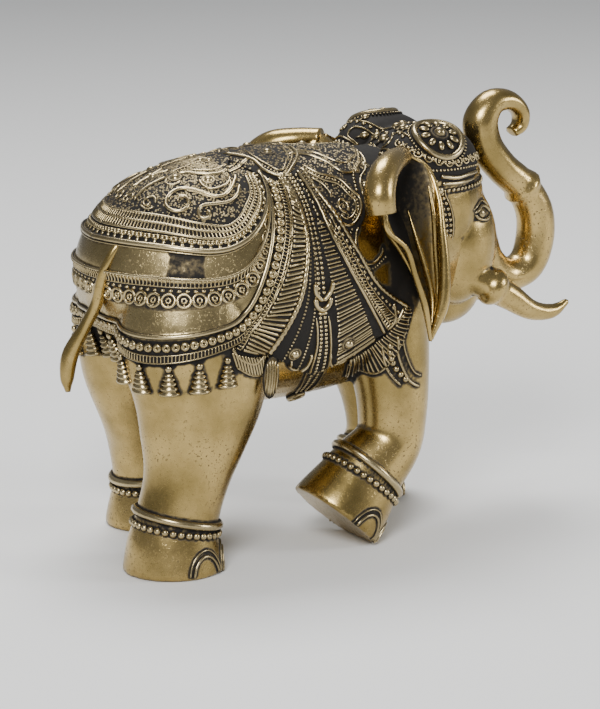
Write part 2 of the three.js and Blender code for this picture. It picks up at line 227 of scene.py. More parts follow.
# Torso and legs
barrel = [
    (-64.8, 0, 66, 5, 6), (-63.3, 0, 66.5, 13.5, 14), (-58.5, 0, 67.7, 21, 21.5), (-50, 0, 69, 27.5, 28.3),
    (-36, 0, 69.8, 30.5, 32), (-18, 0, 70, 31, 33.2), (0, 0, 70.3, 29.5, 32.3), (14, 0, 73, 25.5, 30),
    (26, 0, 77, 20, 26), (36, 0, 80, 16, 20)]
raisedLeg = [
    (8, -10, 86, 5, 7), (8.5, -13, 76, 11, 13), (10, -15, 62, 13, 14), (12, -18, 46, 11, 10.8),
    (11.8, -20, 34, 9.6, 9.3), (10.3, -20.5, 25.5, 9.2, 9), (3, -20.5, 17.8, 10, 10.8),
    (-2, -20.5, 11.8, 11.6, 12.4), (-6.5, -20.5, 6.8, 12.6, 13.4)]
plantedLeg = [
    (9, 10, 86, 5, 7), (10.5, 12, 76, 11, 13), (14, 13, 62, 12, 13), (21, 15, 46, 10, 11),
    (27.5, 16, 32, 8.8, 9.3), (30, 16, 18, 8.6, 8.8), (28, 15.5, 12, 9.2, 9.4), (25, 15, 6, 10.8, 11),
    (24.5, 15, 0, 11.6, 12)]


def hindLeg(side, hipX, footX, footY):
    step = footX - hipX
    return [
        (hipX + 5, side * 9, 88, 5, 7), (hipX + 2, side * 14, 74, 13.5, 17), (hipX, side * 16, 60, 16, 20),
        (hipX, side * 17.5, 46, 14.5, 18.5), (hipX + step * 0.3, side * 19, 33, 12.3, 14.3),
        (hipX + step * 0.6, footY, 23, 10.8, 11.2), (hipX + step * 0.9, footY, 13, 10.6, 10.9),
        (footX, footY, 7, 11.8, 12.4), (footX, footY, 0, 13, 13.6)]


legs = [hindLeg(-1, -46, -55, -20), hindLeg(1, -42, -38, 21.5), raisedLeg, plantedLeg]
skull = {  # centres and half sizes of the forms that make the head
    "round": ((30, 0, 86), (20, 19, 20)), "chin": ((41, 0, 60), (11, 7.5, 10)),
    "dome": ((28, 11.5, 97.5), (14.5, 10, 10.6)), "cheek": ((40, 7, 74), (12, 9.5, 17))}
trunk = [
    (36, 0, 92, 9, 9), (43, 0, 84, 9, 9), (48.5, 0, 74, 8, 8), (54, 0, 65.3, 6.5, 6.2),
    (61.5, 0, 61.3, 5.4, 4.8), (68, 0, 63.3, 5.4, 5), (71, 0, 70, 5.4, 5.4), (70.8, 0, 78, 5.2, 5.3),
    (66.5, 0, 85.5, 4.8, 4.8), (59.5, 0, 91.7, 4.7, 4.6), (54, 0, 98.5, 4.9, 4.8), (52.5, 0, 105, 4.9, 4.9),
    (56, 0, 109.8, 4.4, 3.7), (61.5, 0, 110, 4, 2.8), (65.5, 0, 106.5, 3.6, 2.2),
    (65.3, 0, 102.7, 3.2, 1.9), (62.6, 0, 101, 2.6, 1.6)]
tusk = [
    (40, 10, 66, 3.4, 3.8), (46, 13, 63, 4, 4.2), (53, 14, 58.8, 3.6, 3.8), (60, 15, 54.3, 2.8, 2.8),
    (67, 15, 53.3, 2, 2), (72, 15, 55.6, 0.9, 0.9)]
trunkRing, tuskCollar = (8, 2.4, 1), (1.3, 4, 1.2)  # at which station, how long, how high
tail = [
    (-61, -9, 87, 1, 1), (-65, -8.6, 83.6, 1.2, 1.2), (-67.2, -7.6, 79, 1.5, 1.5), (-67.9, -6, 74, 1.6, 1.6),
    (-68.4, -4.5, 69, 1.6, 1.6), (-70.6, -2.4, 63, 1.6, 1.6), (-74, 0, 55, 2.2, 2.2), (-75, 0, 49, 1.8, 1.8),
    (-74.8, 0, 45.5, 0.7, 0.7)]


def floorCut(bm):  # the soles are flat on the floor
    cut = bmesh.ops.bisect_plane(bm, geom=bm.verts[:] + bm.edges[:] + bm.faces[:],
                                 plane_co=(0, 0, 0.0002 * mm),
                                 plane_no=(0, 0, -1), clear_outer=True)
    rim = [e for e in cut["geom_cut"] if isinstance(e, bmesh.types.BMEdge)]
    bmesh.ops.holes_fill(bm, edges=rim, sides=0)


fineness = {"torso": (0.74, 4), "head": (0.6, 3), "skull": (0.8, 2)}  # voxel, rounds of smoothing


def torsoMesh():
    parts = [limb(barrel, 48, 60)]
    for leg in legs:
        bm = limb(leg, 36, 60)
        floorCut(bm)
        parts.append(bm)
    return fuse(gather(parts), *fineness["torso"])


# An ear is a trough between a front rim and a wavy rear lip, folded inside, with its upper corner rolled over
ear = {
    "front": [(11, 24, 104.2), (18, 24, 101), (20, 28, 94), (19.6, 31, 85), (19.4, 33, 75), (18, 34.4, 64.5),
              (14, 35, 55.6)],
    "root": [(11, 23.4, 103.4), (9, 18.5, 97), (9, 17.5, 90.5), (11, 18.5, 83), (13.8, 21.5, 74),
             (16, 27, 65), (14.2, 34.4, 55.4)],
    "rear": [(11, 24.6, 104.2), (2.5, 30.5, 102.6), (-2.4, 35, 97), (-2.3, 37, 90), (3.5, 37.6, 82),
             (10, 36.3, 70), (13.8, 35.4, 55.2)],
    "roll": [(12, 23, 102.6, 3, 2.6), (6.5, 28, 102.7, 3.4, 3), (0.5, 33, 100.8, 3.9, 3.7),
             (-2.8, 36.2, 96.2, 4.1, 4.1), (-2.4, 36.8, 91.2, 3.8, 3.8)],
    "lips": [  # behind or not, share from root to edge, first and last share of the length, half widths
        (False, 0.985, 0.06, 0.995, (0.5, 0.7, 0.8, 1.1, 1.5, 1.7, 0.7)),
        (True, 0.985, 0.36, 0.995, (0.5, 0.7, 0.7, 0.7, 0.8, 0.9, 0.5)),
        (False, 0.62, 0.3, 0.9, (0.3, 0.7, 0.9, 0.8, 0.3)),
        (False, 0.3, 0.42, 0.95, (0.3, 0.8, 1.0, 0.9, 0.3)),
        (True, 0.45, 0.3, 0.8, (0.3, 0.8, 1.0, 0.8, 0.3))],
    "half": 0.75, "fold": 1.5, "wave": 1.1, "leftAhead": 5, "leftDown": 3}


def earForm(side):
    frontRim, root, rearLip = (roundedLine(ear[name]) for name in ("front", "root", "rear"))

    def posed(point):  # the left ear is held further forward and lower
        x, y, z = point
        share = min(1, max(0, (y - 17) / 8)) if side > 0 else 0
        return Vector((x + ear["leftAhead"] * share, side * y, z - ear["leftDown"] * share))

    def leaf(u, half, behind):
        point = root(u).lerp((rearLip if behind else frontRim)(u), math.sin(half * math.pi / 2))
        body = math.sin(math.pi * min(1, u * 1.1)) ** 0.5
        folded = math.sin(half * 9 + u * 7 + (2 if behind else 0))
        point.y += ear["fold"] * body * folded * 4 * half * (1 - half)
        if behind:
            point.x -= ear["wave"] * body * half ** 2 * math.sin(u * 26 - 1)
        return point

    def place(u, v):  # v goes round the leaf's thickness, along its length goes u
        wrap = v * 2 * math.pi
        face = math.copysign(abs(math.sin(wrap)) ** 0.6, math.sin(wrap)) * ear["half"]
        point = leaf(u, abs(math.cos(wrap)), math.cos(wrap) < 0)
        return spot(*posed((point.x, point.y + face, point.z)))

    def tone(u, v):  # dark in the trough
        wrap = v * 2 * math.pi
        low = min(1, max(0, (u - 0.2) / 0.4))
        return 0.9 if math.sin(wrap) < 0 else 0.1 + 0.4 * low + 0.7 * abs(math.cos(wrap)) ** 3
    parts = [bentGrid(120, 64, place, tube=True, tone=tone)]
    for behind, half, first, last, widths in ear["lips"]:
        lip = []
        for i, width in enumerate(widths):
            along = first + (last - first) * i / (len(widths) - 1)
            point = leaf(along, half, behind)
            point.y += 0.5 if half < 0.9 else 0
            lip.append((*posed(point), width, width))
        parts.append(limb(lip, 12, 90))
    parts.append(limb([(*posed(station[:3]), *station[3:]) for station in ear["roll"]], 36, 50, mouth=0.35))
    return parts


def skullForms():
    parts = [egg(*skull["round"]), egg(*skull["chin"])]
    for side in bothSides:
        for (x, y, z), halves in (skull["dome"], skull["cheek"]):
            parts.append(egg((x, side * y, z), halves))
    return parts


def headMesh():
    parts = skullForms() + [limb(trunk, 28, 140, [trunkRing])]
    for side in bothSides:
        parts.append(limb([(x, side * y, z, a, b) for x, y, z, a, b in tusk], 20, 50, [tuskCollar]))
    return fuse(gather(parts), *fineness["head"])


torsoSkin = torsoMesh()
headSkin = headMesh()
print("castings fused")


def treeOf(mesh):
    return BVHTree.FromPolygons([v.co for v in mesh.vertices], [p.vertices for p in mesh.polygons])


# Places on the body have a run along the spine, negative round the rump, and a rise in degrees
rump = {"spine": (-34, 0, 70), "radius": 31}
tailRun = -rump["radius"] * math.pi / 2
skinTree = treeOf(torsoSkin)
headMiddle = (30, 0, 84)
headTree = treeOf(fuse(gather(skullForms()), *fineness["skull"]))  # without trunk, tusks and ears
reach = 100 * mm


def touch(tree, start, direction, outside=reach):
    point, normal, _, _ = tree.ray_cast(start + direction * outside, -direction)
    return (point, normal) if point else (start + direction * 20 * mm, direction)


def lookOut(run, rise, side):
    turn = max(0, -run) / rump["radius"]
    flat = math.cos(math.radians(rise))
    direction = Vector((-math.sin(turn) * flat, side * math.cos(turn) * flat, math.sin(math.radians(rise))))
    x, y, z = rump["spine"]
    return spot(x + max(0, run), y, z), direction


def onSkin(run, rise, side):
    start, direction = lookOut(run, rise, side)
    return touch(skinTree, start, direction)[0], direction


# The saddlecloth's panels: rows of guides from the upper edge down, with the height of the carving there
rumpGuides = {
    "inner": [(tailRun, 40), (-30, 41), (-16, 39), (-8, 38.5), (-1.8, 45.5), (2.6, 54), (4.3, 66)],
    "upper": [(tailRun, 25.5), (-30, 26.5), (-14, 25.5), (-5.2, 29), (1.8, 37), (6.4, 50), (8, 66)],
    "hem": [(tailRun, -9), (-30, -9.5), (-14, -8), (-6, -3.5), (-0.3, 13), (5.5, 38), (8, 60)],
    "lower": [(tailRun, -15), (-30, -16), (-14, -14), (-4.4, -9), (2.5, 9.3), (8.8, 36), (11.3, 59)]}
frontGuides = {
    "crescentInner": [(12.3, 60), (11.6, 45), (8.4, 26), (3.9, 9), (-2, -6), (-9, -17)],
    "crescentRope": [(13.7, 62), (14.3, 45), (13.9, 29), (12.1, 14), (9.3, -2), (2, -26)],
    "strap": [(16, 63), (16.5, 45), (16.2, 28), (16.2, 10), (17, -12), (18.6, -44)],
    "longRidge": [(18.3, 61), (19.5, 45), (21, 29), (24.9, 12), (30.6, -5), (38, -25)],
    "neckRope": [(20.6, 64), (21.6, 50), (24.3, 37), (28.5, 20), (34.4, 2), (45, -13)],
    "fanEdge": [(32, -54), (37, -46), (41, -36), (44, -26), (46, -14)],
    "fanRoot": [(29, -36), (32.5, -33), (36, -29), (39.5, -23), (43.5, -13)]}


def between(upper, lower, share):
    return [(a[0] + (b[0] - a[0]) * share, a[1] + (b[1] - a[1]) * share) for a, b in zip(upper, lower)]


def rumpGuide(share):  # 0 at the cloth's bright upper ridge, 0.85 at its hem, 1 below the discs
    g = rumpGuides
    if share < 0:
        return between(g["inner"], g["upper"], 1 + share / 0.36)
    if share < 0.85:
        return between(g["upper"], g["hem"], share / 0.85)
    return between(g["hem"], g["lower"], (share - 0.85) / 0.15)


cloth = {"thickness": 1.1, "ridge": 0.8, "tuckedUnder": -0.6, "ground": 0.12}  # the last is its patina
stain = {"middle": (-20.5, 19.5), "half": (4.6, 6), "left": 0.3}  # a dull patch on the right side


def clothPanel(rows, columns, perRow, side, joined=False):  # joined panels meet at the spine
    lines = [roundedLine([(a, b, 0) for a, b in row[0]]) for row in rows]
    heights = [row[1] for row in rows]
    tones = [row[2] if len(row) > 2 else cloth["ground"] for row in rows]
    last = len(rows) - 1

    def place(u, v):
        row = v * last
        i = min(int(row), last - 1)
        t = row - i
        at = lines[i](u).lerp(lines[i + 1](u), t)
        point, direction = onSkin(at.x, at.y, side)
        ease = t * t * (3 - 2 * t)
        raised = heights[i](u) * (1 - ease) + heights[i + 1](u) * ease
        if (v < 1e-6 and not joined) or v > 1 - 1e-6 or u > 1 - 1e-6:
            raised = cloth["tuckedUnder"]
        return point + direction * raised * mm

    def tone(u, v):
        value = float(np.interp(v * last, range(last + 1), tones))
        i = min(int(v * last), last - 1)
        at = lines[i](u).lerp(lines[i + 1](u), v * last - i)
        away = max(abs(a - m) / h for a, m, h in zip(at, stain["middle"], stain["half"]))
        stained = min(1, max(0, (1.15 - away) * 5)) if side < 0 else 0
        return value * (1 - (1 - stain["left"]) * stained)
    sheet = bentGrid(columns, last * perRow, place, tone=tone)
    middle = onSkin(*lines[last // 2](0.5).to_2d(), side)[1]
    if sum(f.normal.dot(middle) for f in sheet.faces) < 0:
        bmesh.ops.reverse_faces(sheet, faces=sheet.faces)
    return sheet


def flat(height):
    return lambda u: height


def ribbed(base, ribs):
    return lambda u: base + 0.64 * abs(math.sin(u * ribs * math.pi))


def rumpPanel(side):
    plain, thin, top = cloth["thickness"], cloth["thickness"] * 0.9, cloth["thickness"] + cloth["ridge"]
    dark, satin = 0.1, 0.95
    bands = [  # share, height, tone
        (-0.9, plain, dark), (-0.6, plain, dark), (-0.35, plain, dark), (-0.2, plain, dark),
        (-0.05, plain, dark), (0, top, satin), (0.05, plain, 0.5), (0.1, plain, satin),
        (0.24, plain, satin), (0.3, plain, 0.45), (0.32, top, satin), (0.37, plain, dark),
        (0.55, thin, dark), (0.62, thin, 0.4), (0.66, thin, satin), (0.79, plain, satin),
        (0.82, plain, 0.5), (0.85, plain + 0.3, satin), (0.9, thin, dark), (0.95, thin, dark),
        (1.05, thin, dark), (1.1, plain * 0.5, dark)]
    rows = [(rumpGuide(share), flat(height), tone) for share, height, tone in bands]
    rows = [([(run, 90.5) for run, _ in rumpGuides["upper"]], flat(plain), dark)] + rows
    return clothPanel(rows, 220, 4, side, joined=True)


saddlePad = [  # rows of the pad between the rump's cloth and the neck, from the spine down
    [(3, 90.5), (15, 90.5), (28, 90.5), (45, 90.5)], [(6, 74), (17, 74), (28, 76), (44, 80)],
    [(9.5, 62), (19, 62), (28, 64), (41, 69)], [(14, 57), (22, 52), (30, 56), (38, 60)],
    [(20, 50), (24, 41), (32, 42), (36, 48)], [(24, 38), (27, 30), (31, 30), (34, 36)]]


def frontPanels(side):
    plain, top = cloth["thickness"], cloth["thickness"] + cloth["ridge"]
    inner, rim, strap, long, neck, fanEdge, fanRoot = frontGuides.values()

    def tucked(u):  # the pad's rear edge lies under the rump's cloth
        return plain * min(1, 0.3 + 6 * u)
    rows = [
        (inner, flat(plain)), (between(inner, rim, 0.15), ribbed(plain, 11)),
        (between(inner, rim, 0.8), ribbed(plain, 11)), (rim, flat(plain)),
        (between(rim, strap, 0.3), flat(plain)), (between(rim, strap, 0.7), flat(plain)),
        (strap, flat(plain)), (between(strap, long, 0.2), flat(plain)),
        (between(strap, long, 0.3), ribbed(plain, 16)), (between(strap, long, 0.85), ribbed(plain, 16)),
        (long, flat(top)), (between(long, neck, 0.15), ribbed(plain, 12)),
        (between(long, neck, 0.5), ribbed(plain, 12)), (between(long, neck, 0.85), flat(plain)),
        (neck, flat(plain)), (between(long, neck, 1.12), flat(plain * 0.4))]
    fan = [(fanRoot, flat(plain)), (between(fanRoot, fanEdge, 0.2), ribbed(plain, 8)),
           (fanEdge, ribbed(plain * 0.6, 8))]
    pad = list(zip(saddlePad, [tucked] * 4 + [flat(plain), flat(plain * 0.7)]))
    return [clothPanel(rows, 160, 4, side), clothPanel(fan, 80, 8, side),
            clothPanel(pad, 40, 10, side, joined=True)]


# Small forms, drawn lying on a surface: X across, Y ahead, Z outward, in millimetres
def spun(profile, segments):
    bm = bmesh.new()
    verts = [bm.verts.new((r, 0, z)) for r, z in profile]
    edges = [bm.edges.new(pair) for pair in zip(verts, verts[1:])]
    bmesh.ops.spin(bm, geom=verts + edges, axis=(0, 0, 1), cent=(0, 0, 0), angle=2 * math.pi, steps=segments,
                   use_merge=True)
    bmesh.ops.remove_doubles(bm, verts=bm.verts, dist=1e-5)
    bmesh.ops.recalc_face_normals(bm, faces=bm.faces)
    return bm


def ball(diameter, at=(0, 0, 0), stretch=(1, 1, 1), sides=8, rings=6):
    bm = bmesh.new()
    bmesh.ops.create_uvsphere(bm, u_segments=sides, v_segments=rings, radius=diameter / 2)
    bmesh.ops.scale(bm, vec=stretch, verts=bm.verts)
    bmesh.ops.translate(bm, vec=at, verts=bm.verts)
    return bm


def stem(start, end, width):
    bm = bmesh.new()
    line = Vector(end) - Vector(start)
    half = width / 2
    bmesh.ops.create_cone(bm, cap_ends=True, segments=5, radius1=half, radius2=half, depth=line.length)
    turn = line.to_track_quat("Z", "Y").to_matrix()
    bmesh.ops.rotate(bm, matrix=turn, verts=bm.verts)
    bmesh.ops.translate(bm, vec=(Vector(start) + Vector(end)) / 2, verts=bm.verts)
    return bm


def crescent():  # a ring open at the top
    bm = bmesh.new()
    turns = np.arange(5) * 2 * math.pi / 5
    loop = [bm.verts.new((0.42 + 0.1 * math.cos(a), 0, 0.1 + 0.16 * math.sin(a))) for a in turns]
    edges = [bm.edges.new((loop[i], loop[(i + 1) % 5])) for i in range(5)]
    bmesh.ops.rotate(bm, matrix=Matrix.Rotation(math.radians(140), 3, "Z"), verts=loop)
    bmesh.ops.spin(bm, geom=loop + edges, axis=(0, 0, 1), cent=(0, 0, 0), angle=math.radians(260), steps=10)
    bmesh.ops.holes_fill(bm, edges=[e for e in bm.edges if e.is_boundary], sides=0)
    bmesh.ops.recalc_face_normals(bm, faces=bm.faces)
    return bm


def grain():
    bm = bmesh.new()
    bmesh.ops.create_icosphere(bm, subdivisions=1, radius=0.5)
    return bm


def leafRib(i):
    return ball(1, (i * 0.72, -5.4, 0.5), (0.5, 10.6 * (1 - (i / 3.4) ** 2) ** 0.5, 0.9), 6, 8)


shapes = {
    "grain": gather([grain()]),
    "crumb": gather([grain()]),  # a grain that stays dark
    "bead": gather([ball(1)]),
    "disc": gather([spun([(0, -0.1), (0.09, -0.1), (0.12, 0.32), (0.26, 0.37), (0.42, 0.3), (0.5, 0.12),
                          (0.5, -0.3)], 14)]),
    "coin": gather([spun([(0.33, -0.1), (0.34, 0.2), (0.42, 0.27), (0.5, 0.2), (0.51, -0.1)], 14),
                    spun([(0.09, -0.05), (0.1, 0.2), (0.16, 0.24), (0.21, 0.18), (0.22, -0.1)], 8),
                    stem((0, -0.16, 0.08), (0, -0.4, 0.08), 0.13)]),
    "trefoil": gather([ball(0.5, (-0.24, 0.2, 0.1), (1, 1, 0.8)), ball(0.5, (0.24, 0.2, 0.1), (1, 1, 0.8)),
                       ball(0.42, (0, -0.22, 0.1), (1, 1.7, 0.8)),
                       stem((-0.5, 0.42, 0.1), (0.5, 0.42, 0.1), 0.16)]),
    "boss": gather([spun([(0, 0.5), (0.16, 0.46), (0.27, 0.3), (0.31, 0.12), (0.36, 0.1), (0.42, 0.2),
                          (0.5, 0.14), (0.52, -0.15)], 16)]),
    "petal": gather([ball(1, (0, 0.5, 0.1), (0.62, 1, 0.42), 10, 6)]),
    "drop": gather([ball(0.8, (0, -0.1, 0.05), (1, 1.15, 0.8), 10, 6),
                    stem((0, 0.2, 0.08), (0, 0.72, 0), 0.26)]),
    "crescent": gather([crescent()]),
    "leaf": gather([ball(1, (0, -5.4, 0), (4.6, 11.4, 1.3), 14, 8)] + [leafRib(i) for i in range(-2, 3)]),
    "tassel": gather([spun([(0, 0), (0.7, -0.3), (0.95, -1), (0.7, -1.7), (0.5, -1.9), (0.6, -2.2),
                            (1.25, -2.45), (1.3, -2.75), (0.85, -3), (0.9, -3.2), (1.7, -3.5),
                            (1.75, -3.85), (1.15, -4.15), (1.2, -4.35), (2.1, -4.7), (2.15, -5.1),
                            (1.5, -5.4), (1.55, -5.65), (2.4, -6), (2.45, -6.4), (1.9, -6.75), (2, -7),
                            (2.85, -7.3), (2.9, -7.8), (2.3, -8.05), (0, -8.1)], 14)])}
for name, mesh in shapes.items():
    layer = mesh.attributes.new("patina", "FLOAT", "POINT")
    top = max(v.co.z for v in mesh.vertices)
    for vert, mark in zip(mesh.vertices, layer.data):
        rise = vert.co.z / max(top, 0.01)
        if name == "tassel":  # its rings stand out from its axis
            rise = (math.hypot(vert.co.x, vert.co.y) - 0.25 * abs(vert.co.z) ** 0.9) / 0.75 + 0.15
        mark.value = min(0.5 if name == "crumb" else 1, max(0.06, 0.08 + 1.0 * rise))


def setOn(shape, place, size, turn=0.0, sink=0.0):
    point, normal, ahead = place
    ahead = ahead - normal * ahead.dot(normal)
    ahead.normalize()
    across = ahead.cross(normal)
    basis = Matrix((across, ahead, normal)).transposed() @ Matrix.Rotation(turn, 3, "Z")
    scale = Vector(size if isinstance(size, tuple) else (size,) * 3) * mm
    copy = shapes[shape].copy()
    moved = Matrix.Translation(point - normal * sink * mm)
    copy.transform(moved @ basis.to_4x4() @ Matrix.Diagonal(scale.to_4d()))
    return copy


def walk(points, find, side):  # a guide's places on a surface and the way covered to each of them
    line = roundedLine([(a, b, 0) for a, b in points])
    steps = 14 * (len(points) - 1)
    raw = [find(*line(i / steps).to_2d(), side) for i in range(steps + 1)]
    runs = [0.0]
    for before, after in zip(raw, raw[1:]):
        runs.append(runs[-1] + (after[0] - before[0]).length)
    return steps, raw, runs


def trail(points, find, side, pitch=0.7):  # places at even distances along a guide on a surface
    steps, raw, runs = walk(points, find, side)
    count = max(2, round(runs[-1] / (pitch * mm)))
    spots = []
    j = 0
    for k in range(count + 1):
        goal = runs[-1] * k / count
        while j < steps - 1 and runs[j + 1] < goal:
            j += 1
        t = (goal - runs[j]) / max(runs[j + 1] - runs[j], 1e-9)
        spots.append((raw[j][0].lerp(raw[j + 1][0], t), raw[j][1].lerp(raw[j + 1][1], t).normalized()))
    places = []
    for k, (point, normal) in enumerate(spots):
        ahead = (spots[min(k + 1, count)][0] - spots[max(k - 1, 0)][0]).normalized()
        places.append((point, normal, ahead))
    return places


def shares(points, find, side, pitch):  # parameters of a guide at even distances
    steps, _, runs = walk(points, find, side)
    count = max(1, round(runs[-1] / (pitch * mm)))
    return list(np.interp(np.arange(count + 1) / count * runs[-1], runs, np.arange(steps + 1) / steps))


def ridge(places, width, height, sides=6, taper=0.0):
    last = len(places) - 1

    def place(u, v):
        point, normal, ahead = places[round(u * last)]
        slim = min(1, min(u, 1 - u) / taper + 0.2) if taper else 1
        turn = v * 2 * math.pi
        wide = ahead.cross(normal) * (math.cos(turn) * width / 2 * slim * mm)
        return point + wide + normal * (math.sin(turn) * height * slim * mm)
    return bentGrid(last, sides, place, tube=True, tone=raisedTone)


def raisedTone(u, v):  # the crown of a ridge is rubbed bright and its foot is dark
    return 0.1 + 0.95 * max(0, math.sin(v * 2 * math.pi)) ** 0.8


twine = {"strands": 2, "placesPerTurn": 5}


def rope(places, width, height):
    last = len(places) - 1

    def place(u, v):
        i = round(u * last)
        point, normal, ahead = places[i]
        turn = v * 2 * math.pi
        phase = math.pi * i / twine["placesPerTurn"]
        groove = 0.72 + 0.28 * abs(math.cos(turn * twine["strands"] / 2 + phase))
        wide = ahead.cross(normal) * (math.cos(turn) * width / 2 * groove * mm)
        return point + wide + normal * (math.sin(turn) * height * groove * mm)
    return bentGrid(last, 10, place, tube=True, tone=raisedTone)


def row(shape, places, size, **how):
    return [setOn(shape, place, size, **how) for place in places]


def portion(guide, first, last):  # a stretch of a guide, between two shares of it
    line = roundedLine([(a, b, 0) for a, b in guide])
    return [tuple(line(first + (last - first) * i / 6).to_2d()) for i in range(7)]


def bars(first, second, side, pitch, width, height, slant=0.0):  # ribs on the cloth from guide to guide
    lines = [roundedLine([(a, b, 0) for a, b in guide]) for guide in (first, second)]
    made = []
    for share in shares(between(first, second, 0.5), onCloth, side, pitch):
        a, b = lines[0](share), lines[1](share + slant)
        places = onGuide([(a.x, a.y), (b.x, b.y)], side, max(0.5, pitch / 2))
        made.append(ridge(places, width, height, 5))
    return made


spiral = {"inner": 0.12, "stepsPerTurn": 9, "degreesPerRun": 57.3 / 32}


def curl(centre, radius, turns, start):  # a spiral in run and rise, from inside out
    stretch = 0.85 / math.cos(math.radians(centre[1])) if centre[0] < 0 else 1  # runs shorten round the rump
    points = []
    count = max(4, round(turns * spiral["stepsPerTurn"]))
    for i in range(count + 1):
        angle = math.radians(start) - turns * 2 * math.pi * i / count
        r = radius * (spiral["inner"] + (1 - spiral["inner"]) * (i / count) ** 0.8)
        rise = centre[1] + r * math.sin(angle) * spiral["degreesPerRun"]
        points.append((centre[0] + r * math.cos(angle) * stretch, rise))
    return points


# Materials
def wire(tree, start, end):
    tree.links.new(start, end)


def mathNode(tree, operation, first, second):
    node = tree.nodes.new("ShaderNodeMath")
    node.operation = operation
    for i, value in enumerate((first, second)):
        if isinstance(value, (int, float)):
            node.inputs[i].default_value = value
        else:
            wire(tree, value, node.inputs[i])
    return node.outputs[0]


def noiseNode(tree, where, scale, detail, roughness):
    node = tree.nodes.new("ShaderNodeTexNoise")
    node.inputs["Scale"].default_value = scale
    node.inputs["Detail"].default_value = detail
    node.inputs["Roughness"].default_value = roughness
    wire(tree, where, node.inputs["Vector"])
    return node.outputs["Fac"]


def rangeNode(tree, value, low, high, toLow=0.0, toHigh=1.0):
    node = tree.nodes.new("ShaderNodeMapRange")
    node.interpolation_type = "SMOOTHSTEP"
    for name, number in (("From Min", low), ("From Max", high), ("To Min", toLow), ("To Max", toHigh)):
        node.inputs[name].default_value = number
    wire(tree, value, node.inputs["Value"])
    return node.outputs["Result"]


def mixNode(tree, share, first, second):
    node = tree.nodes.new("ShaderNodeMix")
    node.data_type = "RGBA"
    sockets = [s for s in node.inputs if s.type == "RGBA"]
    for socket, value in zip(sockets, (first, second)):
        if isinstance(value, tuple):
            socket.default_value = (*value, 1)
        else:
            wire(tree, value, socket)
    wire(tree, share, node.inputs[0])
    return next(o for o in node.outputs if o.type == "RGBA")


tarnish = {
    "brown": (0.115, 0.088, 0.045), "soot": (0.009, 0.007, 0.005),
    "blotch": 34, "grime": 750, "pits": 1500, "scratches": 2880,  # scales are per metre
    "scratchStretch": (1, 1, 0.12), "scratchTurn": (0.5, 0.35, 0.2)}


def agedBrassGroup():  # brass that keeps a dark patina wherever the mask is low
    group = bpy.data.node_groups.new("agedBrass", "ShaderNodeTree")
    for name, kind in (("Patina", "NodeSocketFloat"), ("Pitting", "NodeSocketFloat"),
                       ("Grime", "NodeSocketFloat"), ("Pale", "NodeSocketColor"),
                       ("Olive", "NodeSocketColor")):
        group.interface.new_socket(name, in_out="INPUT", socket_type=kind)
    for name, kind in (("Color", "NodeSocketColor"), ("Roughness", "NodeSocketFloat"),
                       ("Metallic", "NodeSocketFloat"), ("Height", "NodeSocketFloat")):
        group.interface.new_socket(name, in_out="OUTPUT", socket_type=kind)
    given = group.nodes.new("NodeGroupInput")
    result = group.nodes.new("NodeGroupOutput")
    place = group.nodes.new("ShaderNodeTexCoord").outputs["Object"]
    stretched = group.nodes.new("ShaderNodeMapping")
    stretched.inputs["Scale"].default_value = tarnish["scratchStretch"]
    stretched.inputs["Rotation"].default_value = tarnish["scratchTurn"]
    wire(group, place, stretched.inputs["Vector"])
    blotch = noiseNode(group, place, tarnish["blotch"], 6, 0.6)
    grime = noiseNode(group, place, tarnish["grime"], 5, 0.65)
    pitNoise = noiseNode(group, place, tarnish["pits"], 2, 0.5)
    scratch = noiseNode(group, stretched.outputs["Vector"], tarnish["scratches"], 2, 0.6)

    def plus(first, second):
        return mathNode(group, "ADD", first, second)

    def minus(first, second):
        return mathNode(group, "SUBTRACT", first, second)

    def times(first, second):
        return mathNode(group, "MULTIPLY", first, second)
    loose = plus(times(minus(grime, 0.5), given.outputs["Grime"]), times(minus(blotch, 0.5), 0.7))
    bare = rangeNode(group, plus(given.outputs["Patina"], loose), 0.22, 0.72)
    patches = plus(times(rangeNode(group, blotch, 0.46, 0.62), 0.8), 0.2)
    pits = times(rangeNode(group, pitNoise, 0.6, 0.68), times(given.outputs["Pitting"], patches))
    clean = times(bare, minus(1.0, times(pits, 0.75)))
    metal = mixNode(group, rangeNode(group, blotch, 0.34, 0.66), given.outputs["Olive"],
                    given.outputs["Pale"])
    stained = mixNode(group, rangeNode(group, clean, 0, 0.5), tarnish["soot"], tarnish["brown"])
    wire(group, mixNode(group, rangeNode(group, clean, 0.4, 1), stained, metal), result.inputs["Color"])
    rough = plus(rangeNode(group, clean, 0, 1, 0.7, 0.19), times(grime, 0.14))
    wire(group, rough, result.inputs["Roughness"])
    wire(group, rangeNode(group, clean, 0, 0.8, 0.35, 1), result.inputs["Metallic"])
    height = minus(times(grime, 0.35), times(pits, 0.8))
    height = plus(height, times(rangeNode(group, scratch, 0.62, 0.7), -0.1))
    wire(group, height, result.inputs["Height"])
    return group


agedBrass = agedBrassGroup()


